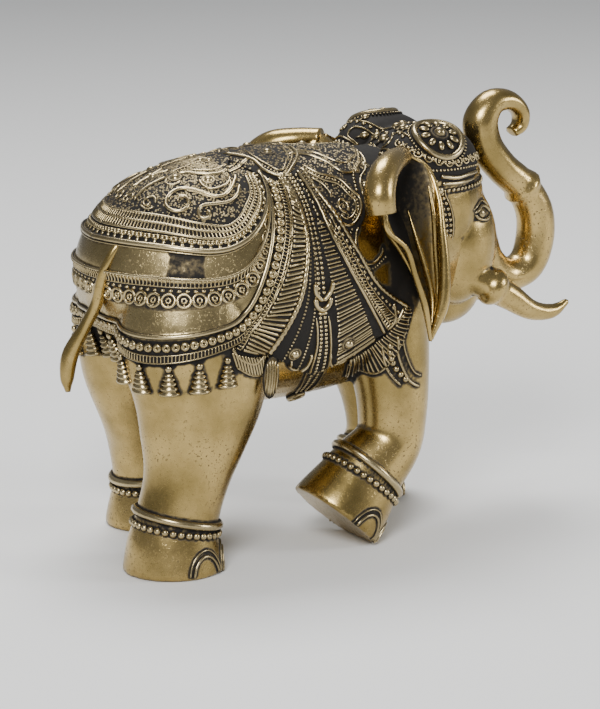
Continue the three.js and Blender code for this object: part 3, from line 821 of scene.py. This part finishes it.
def brassMaterial(name, pitting, grime, depth, pale, olive):
    material = bpy.data.materials.new(name)
    material.use_nodes = True
    tree = material.node_tree
    shader = tree.nodes["Principled BSDF"]
    mask = tree.nodes.new("ShaderNodeAttribute")
    mask.attribute_name = "patina"
    brassNode = tree.nodes.new("ShaderNodeGroup")
    brassNode.node_tree = agedBrass
    brassNode.inputs["Pitting"].default_value = pitting
    brassNode.inputs["Grime"].default_value = grime
    brassNode.inputs["Pale"].default_value = (*pale, 1)
    brassNode.inputs["Olive"].default_value = (*olive, 1)
    wire(tree, mask.outputs["Fac"], brassNode.inputs["Patina"])
    for output, socket in (("Color", "Base Color"), ("Roughness", "Roughness"), ("Metallic", "Metallic")):
        wire(tree, brassNode.outputs[output], shader.inputs[socket])
    bump = tree.nodes.new("ShaderNodeBump")
    bump.inputs["Strength"].default_value = 0.4
    bump.inputs["Distance"].default_value = depth * mm
    wire(tree, brassNode.outputs["Height"], bump.inputs["Height"])
    wire(tree, bump.outputs["Normal"], shader.inputs["Normal"])
    return material


satinBrass = brassMaterial("satinBrass", 0.7, 0.6, 0.12, (0.52, 0.375, 0.145), (0.25, 0.18, 0.06))
carvedBrass = brassMaterial("carvedBrass", 0.2, 0.35, 0.05, (0.53, 0.43, 0.24), (0.30, 0.235, 0.12))
clothBrass = brassMaterial("clothBrass", 0.6, 0.75, 0.25, (0.50, 0.39, 0.19), (0.24, 0.185, 0.085))


# The patina mask: 1 is rubbed bright, 0 is black
def coordinates(mesh):
    flat = np.empty(len(mesh.vertices) * 3, np.float32)
    mesh.vertices.foreach_get("co", flat)
    return flat.reshape(-1, 3).astype(float)


def setPatina(mesh, values):
    layer = mesh.attributes.get("patina") or mesh.attributes.new("patina", "FLOAT", "POINT")
    layer.data.foreach_set("value", np.clip(values, 0, 1).astype(np.float32))


def hollows(mesh, rounds):  # how far each point lies below its blurred surroundings, in millimetres
    points = coordinates(mesh)
    edges = np.empty(len(mesh.edges) * 2, np.int32)
    mesh.edges.foreach_get("vertices", edges)
    edges = edges.reshape(-1, 2)
    normals = np.empty(len(points) * 3, np.float32)
    mesh.vertices.foreach_get("normal", normals)
    normals = normals.reshape(-1, 3)
    count = np.bincount(edges.ravel(), minlength=len(points)).astype(float)[:, None]
    blurred = points.copy()
    for _ in range(rounds):
        total = np.zeros_like(blurred)
        for axis in range(3):
            total[:, axis] = (np.bincount(edges[:, 0], blurred[edges[:, 1], axis], len(points))
                              + np.bincount(edges[:, 1], blurred[edges[:, 0], axis], len(points)))
        blurred = 0.5 * blurred + 0.5 * total / np.maximum(count, 1)
    return ((blurred - points) * normals).sum(axis=1) / mm


def nearness(mesh, tree, within):  # 1 where something is laid on the surface, 0 beyond the distance
    limit = within * mm
    found = [tree.find_nearest(Vector(p), limit)[3] for p in coordinates(mesh)]
    return np.array([0 if d is None else 1 - d / limit for d in found])


clothMesh = bothWays(lambda side: [rumpPanel(side)] + frontPanels(side))
clothTree = treeOf(clothMesh)
print("saddlecloth laid")


def onCloth(run, rise, side):
    start, direction = lookOut(run, rise, side)
    if rise < -46 and run < 27:  # the belly, found from inside because the raised foot hides it
        return skinTree.ray_cast(start, direction)[:2]
    skin = skinTree.ray_cast(start + direction * reach, -direction)
    top = clothTree.ray_cast(start + direction * reach, -direction)
    if top[0] and (not skin[0] or top[3] < skin[3]):
        facing = top[1] if top[1].dot(direction) > 0 else -top[1]
        return top[0], (facing + skin[1]).normalized() if skin[0] else facing
    return (skin[0], skin[1]) if skin[0] else (start + direction * 20 * mm, direction)


def onHead(azimuth, elevation, side):
    a, e = math.radians(azimuth), math.radians(elevation)
    direction = Vector((math.cos(a) * math.cos(e), side * math.sin(a) * math.cos(e), math.sin(e)))
    return touch(headTree, spot(*headMiddle), direction)


alongSpine = Vector((1, 0, 0.01))
ropeStep = 0.32


def onGuide(points, side, pitch=0.7):
    return trail(points, onCloth, side, pitch)


def setAt(shape, run, rise, side, size, height, sink=0.0):  # its height is a share of its size
    return setOn(shape, (*onCloth(run, rise, side), alongSpine), (size, size, size * height), sink=sink)


# Rump: punched ribbons, trefoils, lace with hanging coins, discs and a small chain, from the back down
rumpWork = {
    "ridges": [(-0.355, 0.7, 0.35), (-0.262, 0.75, 0.4), (-0.165, 0.8, 0.45), (0.0, 1.5, 0.45),
               (0.035, 0.5, 0.6), (0.315, 0.9, 0.5), (0.4, 0.35, 0.35), (0.85, 1.4, 0.6), (1.005, 0.4, 0.4),
               (1.065, 0.4, 0.4)],
    "rungs": [(-0.35, -0.27, 0.95, 0.55, 0.32), (-0.265, -0.17, 1.0, 0.58, 0.4), (0.32, 0.4, 1.05, 0.42, 0.4),
              (1.005, 1.065, 0.95, 0.4, 0.4)],
    "trefoils": {"share": -0.08, "pitch": 2.4, "size": (2.45, 2.75, 2.1)},
    "crosses": {"share": 0.435, "pitch": 2.15, "size": (1.5, 1.1, 0.9)},
    "coins": {"share": 0.53, "pitch": 4.05, "size": (4.15, 4.15, 2.6)},
    "discs": {"share": 0.94, "pitch": 2.35, "size": (2.4, 2.4, 2.2), "sink": -0.3}, "sink": 0.1}


def rumpCarving(side):
    parts = []
    for share, width, height in rumpWork["ridges"]:
        parts.append(ridge(onGuide(rumpGuide(share), side, 0.9), width, height))
    for first, second, pitch, width, height in rumpWork["rungs"]:
        parts += bars(rumpGuide(first), rumpGuide(second), side, pitch, width, height)
    for name, shape in (("trefoils", "trefoil"), ("crosses", "grain"), ("coins", "coin"), ("discs", "disc")):
        work = rumpWork[name]
        sink = work.get("sink", rumpWork["sink"])
        for point, normal, ahead in onGuide(rumpGuide(work["share"]), side, work["pitch"]):
            upward = normal.cross(ahead) * -side
            parts.append(setOn(shape, (point, normal, upward), work["size"], sink=sink))
    return parts


dressing = {"rumpCarving": bothWays(rumpCarving)}
print("rump carved")


# Shoulder: a ribbed crescent, the strap and its clasp, a long ridge and a beaded, ribbed fan
shoulderLines = [  # points, width, height
    ([(14.3, 7), (14.5, 2), (16.6, -1.8)], 1.3, 1.2), ([(19.4, 7), (18.8, 2), (16.6, -1.8)], 1.3, 1.2),
    ([(14.2, 0), (14.9, -4), (16.7, -6), (18.5, -4), (19.1, 0)], 1.5, 1.1),
    ([(15.2, -7.6), (18.2, -7.6)], 1.0, 1.0),
    ([(14.9, -9.5), (16, -19), (16.6, -27), (17, -41), (18.4, -58), (19.4, -66)], 0.6, 0.6),
    ([(18.7, -9.5), (20, -19), (21.3, -29), (22.9, -45), (23.4, -58), (22.4, -66)], 0.6, 0.6),
    ([(9.6, -31), (10.6, -36.5), (13, -39), (15.2, -36), (15.6, -29)], 0.8, 0.8),
    ([(21.6, -30), (22.4, -36), (25, -40), (28, -38.5), (29.2, -31)], 0.8, 0.8),
    ([(37.9, -30), (38.4, -36), (40.2, -41.5), (43, -44)], 0.8, 0.7),
    ([(41.4, -25), (42.4, -35), (45, -42), (48.6, -44.5)], 0.9, 0.7),
    ([(43.2, -25), (44.2, -33), (46.4, -39.5), (49.4, -42)], 0.6, 0.6)]
shoulderBeads = [
    ([(16.2, -10), (17.3, -20), (18, -29), (18.9, -42), (20.1, -62)], 1.05, 1.25),
    ([(17.6, -10), (18.8, -20), (19.9, -29), (21.1, -43), (21.6, -62)], 1.05, 1.25),
    ([(39.6, -30), (40.1, -35), (41.8, -39.5), (44.2, -42)], 1.9, 2.0)]
shoulderBosses = [(10, -27, 3.8), (25.9, -25, 4.2)]
shoulderLeaves = [
    ([(-9.6, -18.8), (-6, -22), (-2, -25), (2.6, -27)],
     [(-8.4, -25), (-4.6, -30), (-0.4, -33.5), (2.6, -34)])]
hangingLeaf = {"run": 3.4, "rise": -27, "facing": (-0.15, 1, 0.1), "tilt": (0.1, 0.16, 1),
               "lift": 0.5}  # it hangs clear of thigh and belly
strapLoop = {"run": 20.6, "rise": -69, "halves": (3.4, 1.7)}
ribBands = {  # shares between two guides, stretch of them, then pitch, width, height and slant of the ribs
    "beforeStrap": ((0.3, 0.86), (0.34, 1), 1.15, 0.6, 0.5, 0.0),
    "piercedRibbon": ((0.14, 0.3), (0.38, 1), 1.05, 0.45, 0.4, 0.0),
    "underPearls": ((0.32, 0.55), (0.42, 1), 1.1, 0.5, 0.5, 0.03)}


def shoulderCarving(side):
    inner, rim, strap, long, neck, fanEdge, fanRoot = frontGuides.values()

    def ribBand(name, upper, lower):
        shareRows, stretch, *sizes = ribBands[name]
        return bars(*(portion(between(upper, lower, share), *stretch) for share in shareRows), side, *sizes)
    parts = [rope(onGuide(rim, side, ropeStep), 1.7, 0.95)]
    parts.append(ridge(onGuide(between(inner, rim, 0.1), side), 0.5, 0.45))
    parts += bars(between(inner, rim, 0.0), between(inner, rim, 0.1), side, 0.95, 0.45, 0.4)
    parts += bars(between(inner, rim, 0.16), between(inner, rim, 0.9), side, 1.25, 0.95, 0.65, slant=0.035)
    parts.append(ridge(onGuide([rim[-1], (-2.2, -27.5), (-7, -23), (-9.3, -18), inner[-1]], side), 1.0, 0.6))
    # between the crescent and the long ridge
    for share in (0.3, 0.65):
        parts += row("crumb", onGuide(between(rim, strap, share), side, 1.0), (0.8, 0.8, 0.7))
    for offset in (-0.8, 0.8):
        line = [(x + offset * (0.5 + 0.5 * i / 4), y) for i, (x, y) in enumerate(strap[:4])]
        parts += row("bead", onGuide(line + [(strap[3][0] + offset, 2)], side, 1.3), (1.15, 1.15, 1.0))
    parts += ribBand("beforeStrap", strap, long)
    parts += row("bead", onGuide(portion(between(strap, long, 0.6), 0.04, 0.36), side, 1.3), (1.0, 1.0, 0.9))
    parts.append(ridge(onGuide(long, side), 1.0, 0.65))
    parts.append(ridge(onGuide([long[-1], (40.1, -20), (40.9, -15), (40.4, -10)], side), 1.0, 0.6))
    # beside the long ridge: stippled above, a pierced ribbon, pearls and ribs below
    for share in (0.33, 0.66):
        upperPart = portion(between(long, neck, share), 0.02, 0.42)
        parts += row("crumb", onGuide(upperPart, side, 1.0), (0.85, 0.85, 0.7))
    for share, width in ((0.14, 0.4), (0.3, 0.5), (0.56, 0.4)):
        parts.append(ridge(onGuide(portion(between(long, neck, share), 0.36, 1), side), width, 0.45))
    parts += ribBand("piercedRibbon", long, neck)
    parts += ribBand("underPearls", long, neck)
    parts += row("bead", onGuide(portion(between(long, neck, 0.72), 0.45, 1), side, 1.9), (1.15, 1.15, 1.0))
    parts.append(rope(onGuide(neck, side, ropeStep), 1.3, 0.75))
    # the strap's clasp and its beaded end, a curl on each side of it, and leaves under the crescent
    for points, width, height in shoulderLines:
        parts.append(ridge(onGuide(points, side, 0.5), width, height, 7, taper=0.05))
    for points, size, pitch in shoulderBeads:
        parts += row("bead", onGuide(points, side, pitch), (size, size, size * 0.9))
    for run, rise, size in shoulderBosses:
        parts.append(setAt("boss", run, rise, side, size, 0.8))
    for first, second in shoulderLeaves:
        parts += bars(first, second, side, 1.15, 0.7, 0.7)
        parts.append(ridge(onGuide(second, side, 0.5), 0.7, 0.55))
    point, normal = onCloth(hangingLeaf["run"], hangingLeaf["rise"], side)
    facing, tilt = (Vector((x, side * y, z)) for x, y, z in (hangingLeaf["facing"], hangingLeaf["tilt"]))
    facing.normalize()
    parts.append(setOn("leaf", (point + facing * hangingLeaf["lift"] * mm, facing, tilt), 1))
    point, normal = onCloth(strapLoop["run"], strapLoop["rise"], side)
    inner = Vector((0, -side, 0)) - normal * Vector((0, -side, 0)).dot(normal)
    inner.normalize()
    ahead = inner.cross(normal)
    loop = []
    for k in range(33):
        turn = 2 * math.pi * k / 32
        along, wide = strapLoop["halves"]
        offset = (inner * math.cos(turn) * along + ahead * math.sin(turn) * wide) * mm
        tangent = (ahead * math.cos(turn) * wide - inner * math.sin(turn) * along).normalized()
        loop.append((point + offset + normal * 0.4 * mm, normal, tangent))
    parts.append(ridge(loop, 0.9, 0.9, 7))
    # the fan under the neck
    parts += bars(between(fanRoot, fanEdge, 0.05), fanEdge, side, 1.1, 0.6, 0.6)
    parts.append(ridge(onGuide(fanEdge, side), 0.8, 0.5))
    parts.append(ridge(onGuide(fanRoot, side), 1.0, 0.7))
    return parts


dressing["shoulderCarving"] = bothWays(shoulderCarving)
print("shoulders carved")


# Back: scrolls and bosses on a stippled ground, a drop-shaped saddle pad and the neck's scrolls
bigScroll = curl((-25, 49.8), 4.6, 1.25, 180) + [(-18.3, 57), (-9.8, 54), (-4.3, 57), (0.6, 63), (1.6, 68)]
smallScroll = curl((-15.4, 44.5), 2.6, 1.0, 90) + [(-10.5, 50), (-5.7, 51), (-1.1, 55), (1.2, 60)]
neckLoop = [(27.6 + 1.4 * math.cos(k), 41.5 + 3.4 * math.sin(k)) for k in np.linspace(-0.6, 5.2, 12)]
backWork = {
    "lines": [  # points, width, height
        (bigScroll, 1.05, 0.75), (smallScroll, 1.0, 0.7),
        ([(p[0] * 0.9 - 2.5, p[1] * 0.9 + 4.9) for p in bigScroll[-6:]], 0.5, 0.4),
        (curl((-36, 46.5), 2.2, 1.1, 40), 0.6, 0.5), (curl((-45.7, 46), 1.9, 1.1, 40), 0.6, 0.5),
        ([(-33, 44.5), (-35.5, 43), (-38.6, 44.5)], 0.5, 0.45),
        ([(-42, 46), (-42, 53), (-40.5, 59), (-38.5, 64)], 0.9, 0.65),
        ([(-35, 68), (-30, 70), (-20, 70), (-10.7, 69.5), (-3, 70), (2.5, 72.5), (9, 77)], 0.9, 0.65),
        ([(-40, 69), (-35, 76), (-29, 81), (-18, 83)], 0.5, 0.45),
        ([(-30, 73), (-18, 73.5), (-8, 73), (2, 75.5), (7, 79)], 0.4, 0.4),
        ([(-19.1, 66), (-16.5, 61), (-12, 59), (-5.2, 61), (-1, 64.5), (0, 69)], 0.6, 0.5),
        ([(-37, 64), (-36, 60.5), (-33, 59), (-30, 60.5), (-29, 64)], 0.45, 0.4),
        ([(-44, 70), (-47, 66), (-48.6, 58), (-47.5, 52)], 0.6, 0.5),
        ([(5, 88.5), (7.5, 82), (9.6, 75), (10.4, 66), (14.2, 60.5), (19, 67), (22.6, 74), (24, 80),
          (24.5, 88)], 1.0, 0.7),
        ([(11.2, 88), (10.9, 78), (12.2, 69), (14.6, 64.5), (17.4, 69), (20.4, 76), (22, 88)], 0.5, 0.45),
        ([(20.8, 77), (26, 75), (29.5, 69), (32.2, 61.5), (35.8, 61.5), (40.4, 68)], 0.8, 0.6),
        ([(24, 81), (29, 77), (33, 69), (36.5, 68.5), (41, 75)], 0.5, 0.45),
        ([(21.6, 67), (24.6, 60.5), (29.6, 57), (32, 50), (33.7, 45.5), (32.8, 39), (29.8, 33.2), (27, 32),
          (24.9, 35), (24.2, 41)], 0.75, 0.6),
        ([(21.5, 62.5), (24.6, 56.6), (28.6, 53.6), (30.4, 48), (31.8, 44), (31.2, 39.5), (29.2, 36),
          (27.2, 35.2), (25.8, 37.5)], 0.5, 0.5),
        (neckLoop, 0.7, 0.55), ([(21.8, 58), (24.2, 53.5), (25.3, 47.5)], 0.6, 0.5),
        ([(30.6, 31), (28.9, 22), (30.2, 14), (33.9, 12.5), (37.2, 16.5), (38, 20)], 0.7, 0.55),
        ([(35.4, 47), (36.2, 54), (38.4, 60), (41.6, 66), (44, 76), (44.6, 88)], 0.7, 0.55)],
    "bosses": [(-13.5, 65.5, 3.6), (-16.2, 65, 1.8), (-33.5, 65, 3.8), (-47.2, 62, 3.2), (-25, 84, 3.4),
               (-6, 83, 3.0), (16, 81, 4.2), (42.4, 69.5, 3.0), (38.6, 55, 3.2), (31.5, 85, 3.6),
               (37.4, 62.5, 2.4)],
    "beadLines": [([(21.5, 65), (24.6, 58.6), (29, 55.4), (31.2, 49), (32.8, 44.8), (32, 39.2),
                    (29.5, 34.6)], 0.75, 0.95),
                  ([(8.8, 84), (9.8, 76.5), (11.4, 67.6), (14.4, 62.4), (18.2, 68), (21.4, 75), (22.9, 80),
                    (23.4, 88)], 0.7, 0.95),
                  ([(-36.5, 70.5), (-29.5, 77.3), (-19.5, 80.3), (-12, 78.3)], 0.7, 0.95),
                  ([(34, 50), (35, 57), (37.2, 64), (40.4, 70), (42.8, 78)], 1.0, 1.3),
                  ([(28.6, 30), (27.4, 22), (28.8, 12.5), (33.9, 10), (38.6, 15)], 0.7, 0.95)],
    "stipple": {"count": 4300, "size": 0.66, "seed": 5, "run": (-49, 44), "rise": (34, 89), "lowest": (
        (-8, -1.8, 2.6, 4.3, 12, 12.1, 22, 22.1, 33, 33.1), (40, 46.5, 55, 67, 74, 62, 62, 36, 36, 62))}}


def backCarving(side):
    parts = []
    for points, width, height in backWork["lines"]:
        parts.append(ridge(onGuide(points, side, 0.45), width, height, 7, taper=0.04))
    for run, rise, size in backWork["bosses"]:
        parts.append(setAt("boss", run, rise, side, size, 0.55, sink=0.1))
    for points, size, pitch in backWork["beadLines"]:
        parts += row("grain", onGuide(points, side, pitch), size)
    stipple = backWork["stipple"]
    dice = random.Random(stipple["seed"])
    for _ in range(stipple["count"]):
        run, rise = dice.uniform(*stipple["run"]), dice.uniform(*stipple["rise"])
        size = stipple["size"] * dice.uniform(0.7, 1.2)
        if rise >= np.interp(run, *stipple["lowest"]):
            parts.append(setAt("crumb", run, rise, side, size, 0.8, sink=0.1))
    return parts


dressing["backCarving"] = bothWays(backCarving)
print("back carved")


# Tassels hang round the rump under the hem
tasselRow = {"count": 6, "firstRun": -11, "rise": -19.5, "drop": 13, "size": 0.98, "flatness": 0.8,
             "lift": 0.5}


def tassels(side):
    parts = []
    size = tasselRow["size"]
    for i in range(tasselRow["count"] + (1 if side < 0 else 0)):
        run = tasselRow["firstRun"] + (tailRun - tasselRow["firstRun"]) * i / tasselRow["count"]
        point, normal = onCloth(run, tasselRow["rise"], side)
        low = onCloth(run, tasselRow["rise"] - tasselRow["drop"], side)[0]
        hang = (point - low).normalized()
        out = (normal - hang * normal.dot(hang)).normalized()
        # a tassel's length runs along its own Z, so the frame is turned to hang
        basis = Matrix((out.cross(hang), out, hang)).transposed().to_4x4()
        scale = Matrix.Diagonal((size * mm, size * tasselRow["flatness"] * mm, size * mm, 1))
        copy = shapes["tassel"].copy()
        copy.transform(Matrix.Translation(point + out * tasselRow["lift"] * mm) @ basis @ scale)
        parts.append(copy)
    return parts


dressing["tassels"] = bothWays(tassels)
print("tassels hung")


# Anklets: a ring and a row of beads round each ankle, and arched toenails
nails = {"angles": (-76, -26, 26, 76), "halfAngle": 18.5, "height": 0.095}


def toenails(path):
    parts = []
    ahead = (path(1) - path(0.96)).normalized()
    across = (Vector((0, 1, 0)) - ahead * ahead.y).normalized()
    upright = ahead.cross(across)

    def onFoot(angle, share):
        turn = math.radians(angle)
        out = upright * math.cos(turn) + across * math.sin(turn)
        return touch(skinTree, spot(*path(share)), out, 22 * mm)
    for middle in nails["angles"]:
        for grow, width, height in ((1.0, 0.8, 0.55), (1.3, 0.5, 0.4)):
            raw = []
            for k in range(25):
                bow = math.pi * k / 24
                raw.append(onFoot(middle - math.cos(bow) * nails["halfAngle"] * grow,
                                  0.995 - math.sin(bow) * nails["height"] * grow))
            raw = [r for r in raw if r[0].z > 0.4 * mm]
            places = [(p, n, (raw[min(k + 1, len(raw) - 1)][0] - raw[max(k - 1, 0)][0]).normalized())
                      for k, (p, n) in enumerate(raw)]
            if len(places) > 6:
                parts.append(ridge(places, width, height))
    return parts


anklet = {  # rows: stations above the sole, and beads or a ring
    "rows": [(3.1, False), (2.72, True)], "beads": 34, "beadSize": (2.0, 2.1, 2.0), "ring": (2.3, 1.35),
    "lift": 0.1}


def ankletCarving():
    parts = []
    for leg in legs:
        path = spacedLine([s[:3] for s in leg])
        girth = roundedLine([s[3:5] for s in leg])
        spans = len(leg) - 1
        for above, beaded in anklet["rows"]:
            share = (spans + 1 - above) / spans
            ahead = (path(share + 0.004) - path(share - 0.004)).normalized()
            across = (Vector((0, 1, 0)) - ahead * ahead.y).normalized()
            upright = ahead.cross(across)
            half = girth(share)
            lift = anklet["lift"]
            around = []
            for k in range(anklet["beads"] + (0 if beaded else 1)):
                turn = 2 * math.pi * k / anklet["beads"]
                c, s = math.cos(turn), math.sin(turn)
                out = (across * c / half.x + upright * s / half.y).normalized()
                at = path(share) + across * c * (half.x + lift) + upright * s * (half.y + lift)
                around.append((spot(*at), out, ahead.cross(out)))
            if beaded:
                parts += row("bead", around, anklet["beadSize"])
            else:
                parts.append(ridge(around, *anklet["ring"], 10))
        parts += toenails(path)
    return parts


# Headdress: borders, beads, a rosette on each dome and a beaded strap down the cheek
headWork = {  # azimuth from the face and height, in degrees
    "ridges": [([(178, 50), (158, 45), (140, 36), (128, 29.5)], 0.9, 0.7),
               ([(101, 28.5), (87, 27.5), (72, 29), (40, 31), (0, 35)], 1.1, 0.8),
               ([(99, 24.6), (84, 24.6), (64, 26), (40, 27), (0, 30)], 1.0, 0.7),
               ([(178, 56), (160, 50), (142, 44.5), (134, 40)], 0.5, 0.4),
               ([(178, 61), (165, 64), (150, 61), (141, 54), (146, 48), (156, 50)], 0.55, 0.5),
               ([(178, 77), (160, 75), (143, 67), (134, 58), (124, 51)], 0.55, 0.5)],
    "beads": [([(178, 53), (160, 47.8), (142, 40.5), (132, 35)], 1.35, 1.7),
              ([(92, 20.5), (76, 21), (62, 21), (40, 21), (0, 23)], 1.4, 1.7),
              ([(178, 69), (160, 69), (150, 66), (138, 59), (130, 52)], 1.3, 2.2),
              ([(170, 84), (120, 84), (60, 82), (20, 76)], 1.3, 2.0),
              ([(126, 36), (112, 32), (98, 31.5), (75, 32.5), (40, 34.5), (5, 38)], 0.8, 1.1)],
    "crescents": {"guide": [(132, 47), (118, 40.5), (108, 37.5), (99, 36), (88, 35.5), (75, 37), (50, 39),
                            (20, 43)], "size": 2.7, "pitch": 3.0},
    "rope": [(131, 28), (122, 28.5), (112, 28), (104, 25.5)],
    "drops": [(170, 62, 3.4), (152, 56, 3.0), (158, 79, 3.2), (128, 60, 2.6), (90, 78, 3.0), (50, 72, 2.8),
              (25, 62, 2.8)],
    "strap": [(102, 21), (96, 10), (91, -8), (88, -27)],
    "eye": (47, -3),
    "lids": [([(37, -4), (42, 1), (49, 2), (57, -2)], 0.9, 0.9),
             ([(38, -5), (44, -8), (51, -7.5), (57, -3)], 0.8, 0.7),
             ([(35, 0), (42, 5.5), (51, 6), (60, 1)], 0.6, 0.5)]}
rosette = {  # rim and petals: how far out and how many
    "tilt": 0.62, "boss": (5.2, 5.2, 4.2), "sunk": 0.3, "rim": (6.6, 48), "rimSize": (1.9, 1.3),
    "dotsOut": 1.5, "dotSize": 0.85, "petals": (2.7, 10), "petalSize": (2.9, 3.0, 3.2)}


def domeRosette(side):
    x, y, z = skull["dome"][0]
    facing = Vector((0, side * rosette["tilt"], 1)).normalized()
    crown, _ = touch(headTree, spot(x, side * y, z), facing)
    forward = Vector((1, 0, 0))
    across = forward.cross(facing)

    def circle(radius, count):
        places = []
        for k in range(count + 1):
            turn = 2 * math.pi * k / count
            out = forward * math.cos(turn) + across * math.sin(turn)
            hit, normal, _, _ = headTree.ray_cast(crown + out * radius * mm + facing * 12 * mm, -facing)
            places.append((hit, normal, out, -forward * math.sin(turn) + across * math.cos(turn)))
        return places
    parts = [setOn("boss", (crown - facing * rosette["sunk"] * mm, facing, forward), rosette["boss"])]
    rim = [(hit, (normal + facing).normalized(), ahead) for hit, normal, _, ahead in circle(*rosette["rim"])]
    parts.append(ridge(rim, *rosette["rimSize"], 8))
    dots = []
    for point, normal, ahead in rim[:-1]:
        outward = (point - crown).normalized() * rosette["dotsOut"] * mm
        dots.append((point + outward - normal * 0.3 * mm, normal, ahead))
    parts += row("grain", dots, rosette["dotSize"])
    petals = [(hit, normal, out) for hit, normal, out, _ in circle(*rosette["petals"])[:-1]]
    return parts + row("petal", petals, rosette["petalSize"])


def headCarving(side):
    parts = []
    for guide, width, height in headWork["ridges"]:
        parts.append(ridge(trail(guide, onHead, side), width, height, 8))
    for guide, size, pitch in headWork["beads"]:
        parts += row("bead", trail(guide, onHead, side, pitch), (size, size, size * 0.9))
    work = headWork["crescents"]
    ring = trail(work["guide"], onHead, side, work["pitch"] / 2)
    parts += row("crescent", ring[::2], (work["size"], work["size"], work["size"] * 0.7), turn=math.pi / 2)
    parts += row("bead", ring[1::2], (1.15, 1.15, 1.1))
    parts += row("bead", ring[::2], (1.2, 1.2, 1.2))
    parts.append(rope(trail(headWork["rope"], onHead, side, ropeStep), 1.7, 1.0))
    for azimuth, elevation, size in headWork["drops"]:
        parts.append(setOn("drop", (*onHead(azimuth, elevation, side), Vector((-1, 0, 0.2))), size))
    strap = headWork["strap"]
    for offset in (-3.5, 0.5):
        parts += row("bead", trail([(a + offset, e) for a, e in strap], onHead, side, 1.65), 1.25)
    for offset in (-6.2, 3.4):
        parts.append(ridge(trail([(a + offset, e) for a, e in strap], onHead, side), 0.45, 0.6))
    ends = [onHead(a - 1.5, e, side) for a, e in (strap[0], strap[-1])]
    parts.append(setOn("bead", (*ends[0], Vector((0, 0, 1))), 2.5))
    parts.append(setOn("bead", (*ends[1], Vector((0, 0, 1))), (3.8, 1.3, 1.6)))
    # eye with its lids
    eye = (*onHead(*headWork["eye"], side), Vector((1, 0, 0.1)))
    parts.append(setOn("bead", eye, (3.2, 3.2, 2.2), sink=0.3))
    for guide, width, height in headWork["lids"]:
        parts.append(ridge(trail(guide, onHead, side, 0.5), width, height, 7, taper=0.15))
    return parts + domeRosette(side)


headdress = bothWays(headCarving)
print("head carved")


anklets = gather(ankletCarving())
print("ankles carved")


# Shades of the skins, then the finished pieces
def capGround(mesh):  # the ground of the head cap is left black
    x, y, z = headMiddle
    points = coordinates(mesh) / mm - np.array([x + drawing["shift"], y, z])
    azimuth = np.degrees(np.arctan2(np.abs(points[:, 1]), points[:, 0]))
    elevation = np.degrees(np.arctan2(points[:, 2], np.hypot(points[:, 0], points[:, 1])))
    border = np.interp(azimuth, [0, 40, 75, 104, 124, 150, 178], [30, 27, 26, 25, 27, 24, 20])
    return np.clip((elevation - border) / 3, 0, 1) * (nearness(mesh, headTree, 1.4) > 0.3)


def neckShadeAndPatina(mesh):  # the neck behind the ears is darkened too: painted shade, partly dark patina
    points = coordinates(mesh) / mm
    ahead = np.clip((points[:, 0] - 3) / 5, 0, 1) * np.clip((22 - points[:, 0]) / 6, 0, 1)
    return ahead * np.clip((points[:, 2] - 58) / 10, 0, 1)


# neck sets how strongly the painted shade behind the ears, partly patina, darkens the skins
shading = {"bright": 0.98, "perHollow": 3.2, "rounds": 14, "deepest": 0.3, "neck": 0.85}


def skinShade(mesh):  # bright, darker in hollows, and darker on the neck behind the ears with painted shade, partly patina
    depths = np.clip(hollows(mesh, shading["rounds"]), 0, shading["deepest"])
    return shading["bright"] - shading["perHollow"] * depths - shading["neck"] * neckShadeAndPatina(mesh)


torsoShade = skinShade(torsoSkin)
for mesh in dressing.values():
    torsoShade -= 0.75 * nearness(torsoSkin, treeOf(mesh), 1.6)
torsoShade -= 0.55 * nearness(torsoSkin, clothTree, 1.4) + 0.8 * nearness(torsoSkin, treeOf(anklets), 1.3)
setPatina(torsoSkin, torsoShade)
headShade = skinShade(headSkin) - 0.9 * capGround(headSkin)
headShade -= 0.8 * nearness(headSkin, treeOf(headdress), 1.2)
setPatina(headSkin, headShade)
tailMesh = gather([limb(tail, 20, 60)])
setPatina(tailMesh, np.full(len(tailMesh.vertices), 0.9))

torsoPiece = makePiece("body", torsoSkin, satinBrass)
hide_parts("elephant")
makePiece("head", headSkin, satinBrass)
makePiece("saddlecloth", clothMesh, clothBrass)
for name, mesh in dressing.items():
    makePiece(name, mesh, carvedBrass)
makePiece("anklets", anklets, carvedBrass)
makePiece("headdress", headdress, carvedBrass)
makePiece("tail", tailMesh, satinBrass)
makePiece("ears", bothWays(earForm), satinBrass)


# Floor, lights and studio
lamps = [  # name, place, size and power
    ("key", (-0.55, -0.65, 0.7), 0.36, 10.5), ("fill", (0.75, -0.55, 0.35), 0.3, 4.2),
    ("top", (0.1, 0.35, 0.85), 0.42, 8)]


def floorAndLight():
    bm = bmesh.new()
    bmesh.ops.create_grid(bm, x_segments=1, y_segments=1, size=3)
    mesh = bpy.data.meshes.new("floor")
    bm.to_mesh(mesh)
    bm.free()
    floor = bpy.data.objects.new("floor", mesh)
    scene.collection.objects.link(floor)
    pale = bpy.data.materials.new("paleFloor")
    pale.use_nodes = True
    pale.node_tree.nodes["Principled BSDF"].inputs["Base Color"].default_value = (0.8, 0.8, 0.79, 1)
    pale.node_tree.nodes["Principled BSDF"].inputs["Roughness"].default_value = 0.7
    mesh.materials.append(pale)
    for name, at, size, power in lamps:
        lamp = bpy.data.objects.new(name, bpy.data.lights.new(name, "AREA"))
        lamp.data.size = size
        lamp.data.energy = power
        lamp.location = at
        lamp.rotation_euler = (Vector((0, 0, 0.06)) - Vector(at)).to_track_quat("-Z", "Y").to_euler()
        scene.collection.objects.link(lamp)
    world = bpy.data.worlds.new("studio")
    world.use_nodes = True
    world.node_tree.nodes["Background"].inputs["Color"].default_value = (0.9, 0.92, 0.95, 1)
    world.node_tree.nodes["Background"].inputs["Strength"].default_value = 0.3
    scene.world = world


floorAndLight()
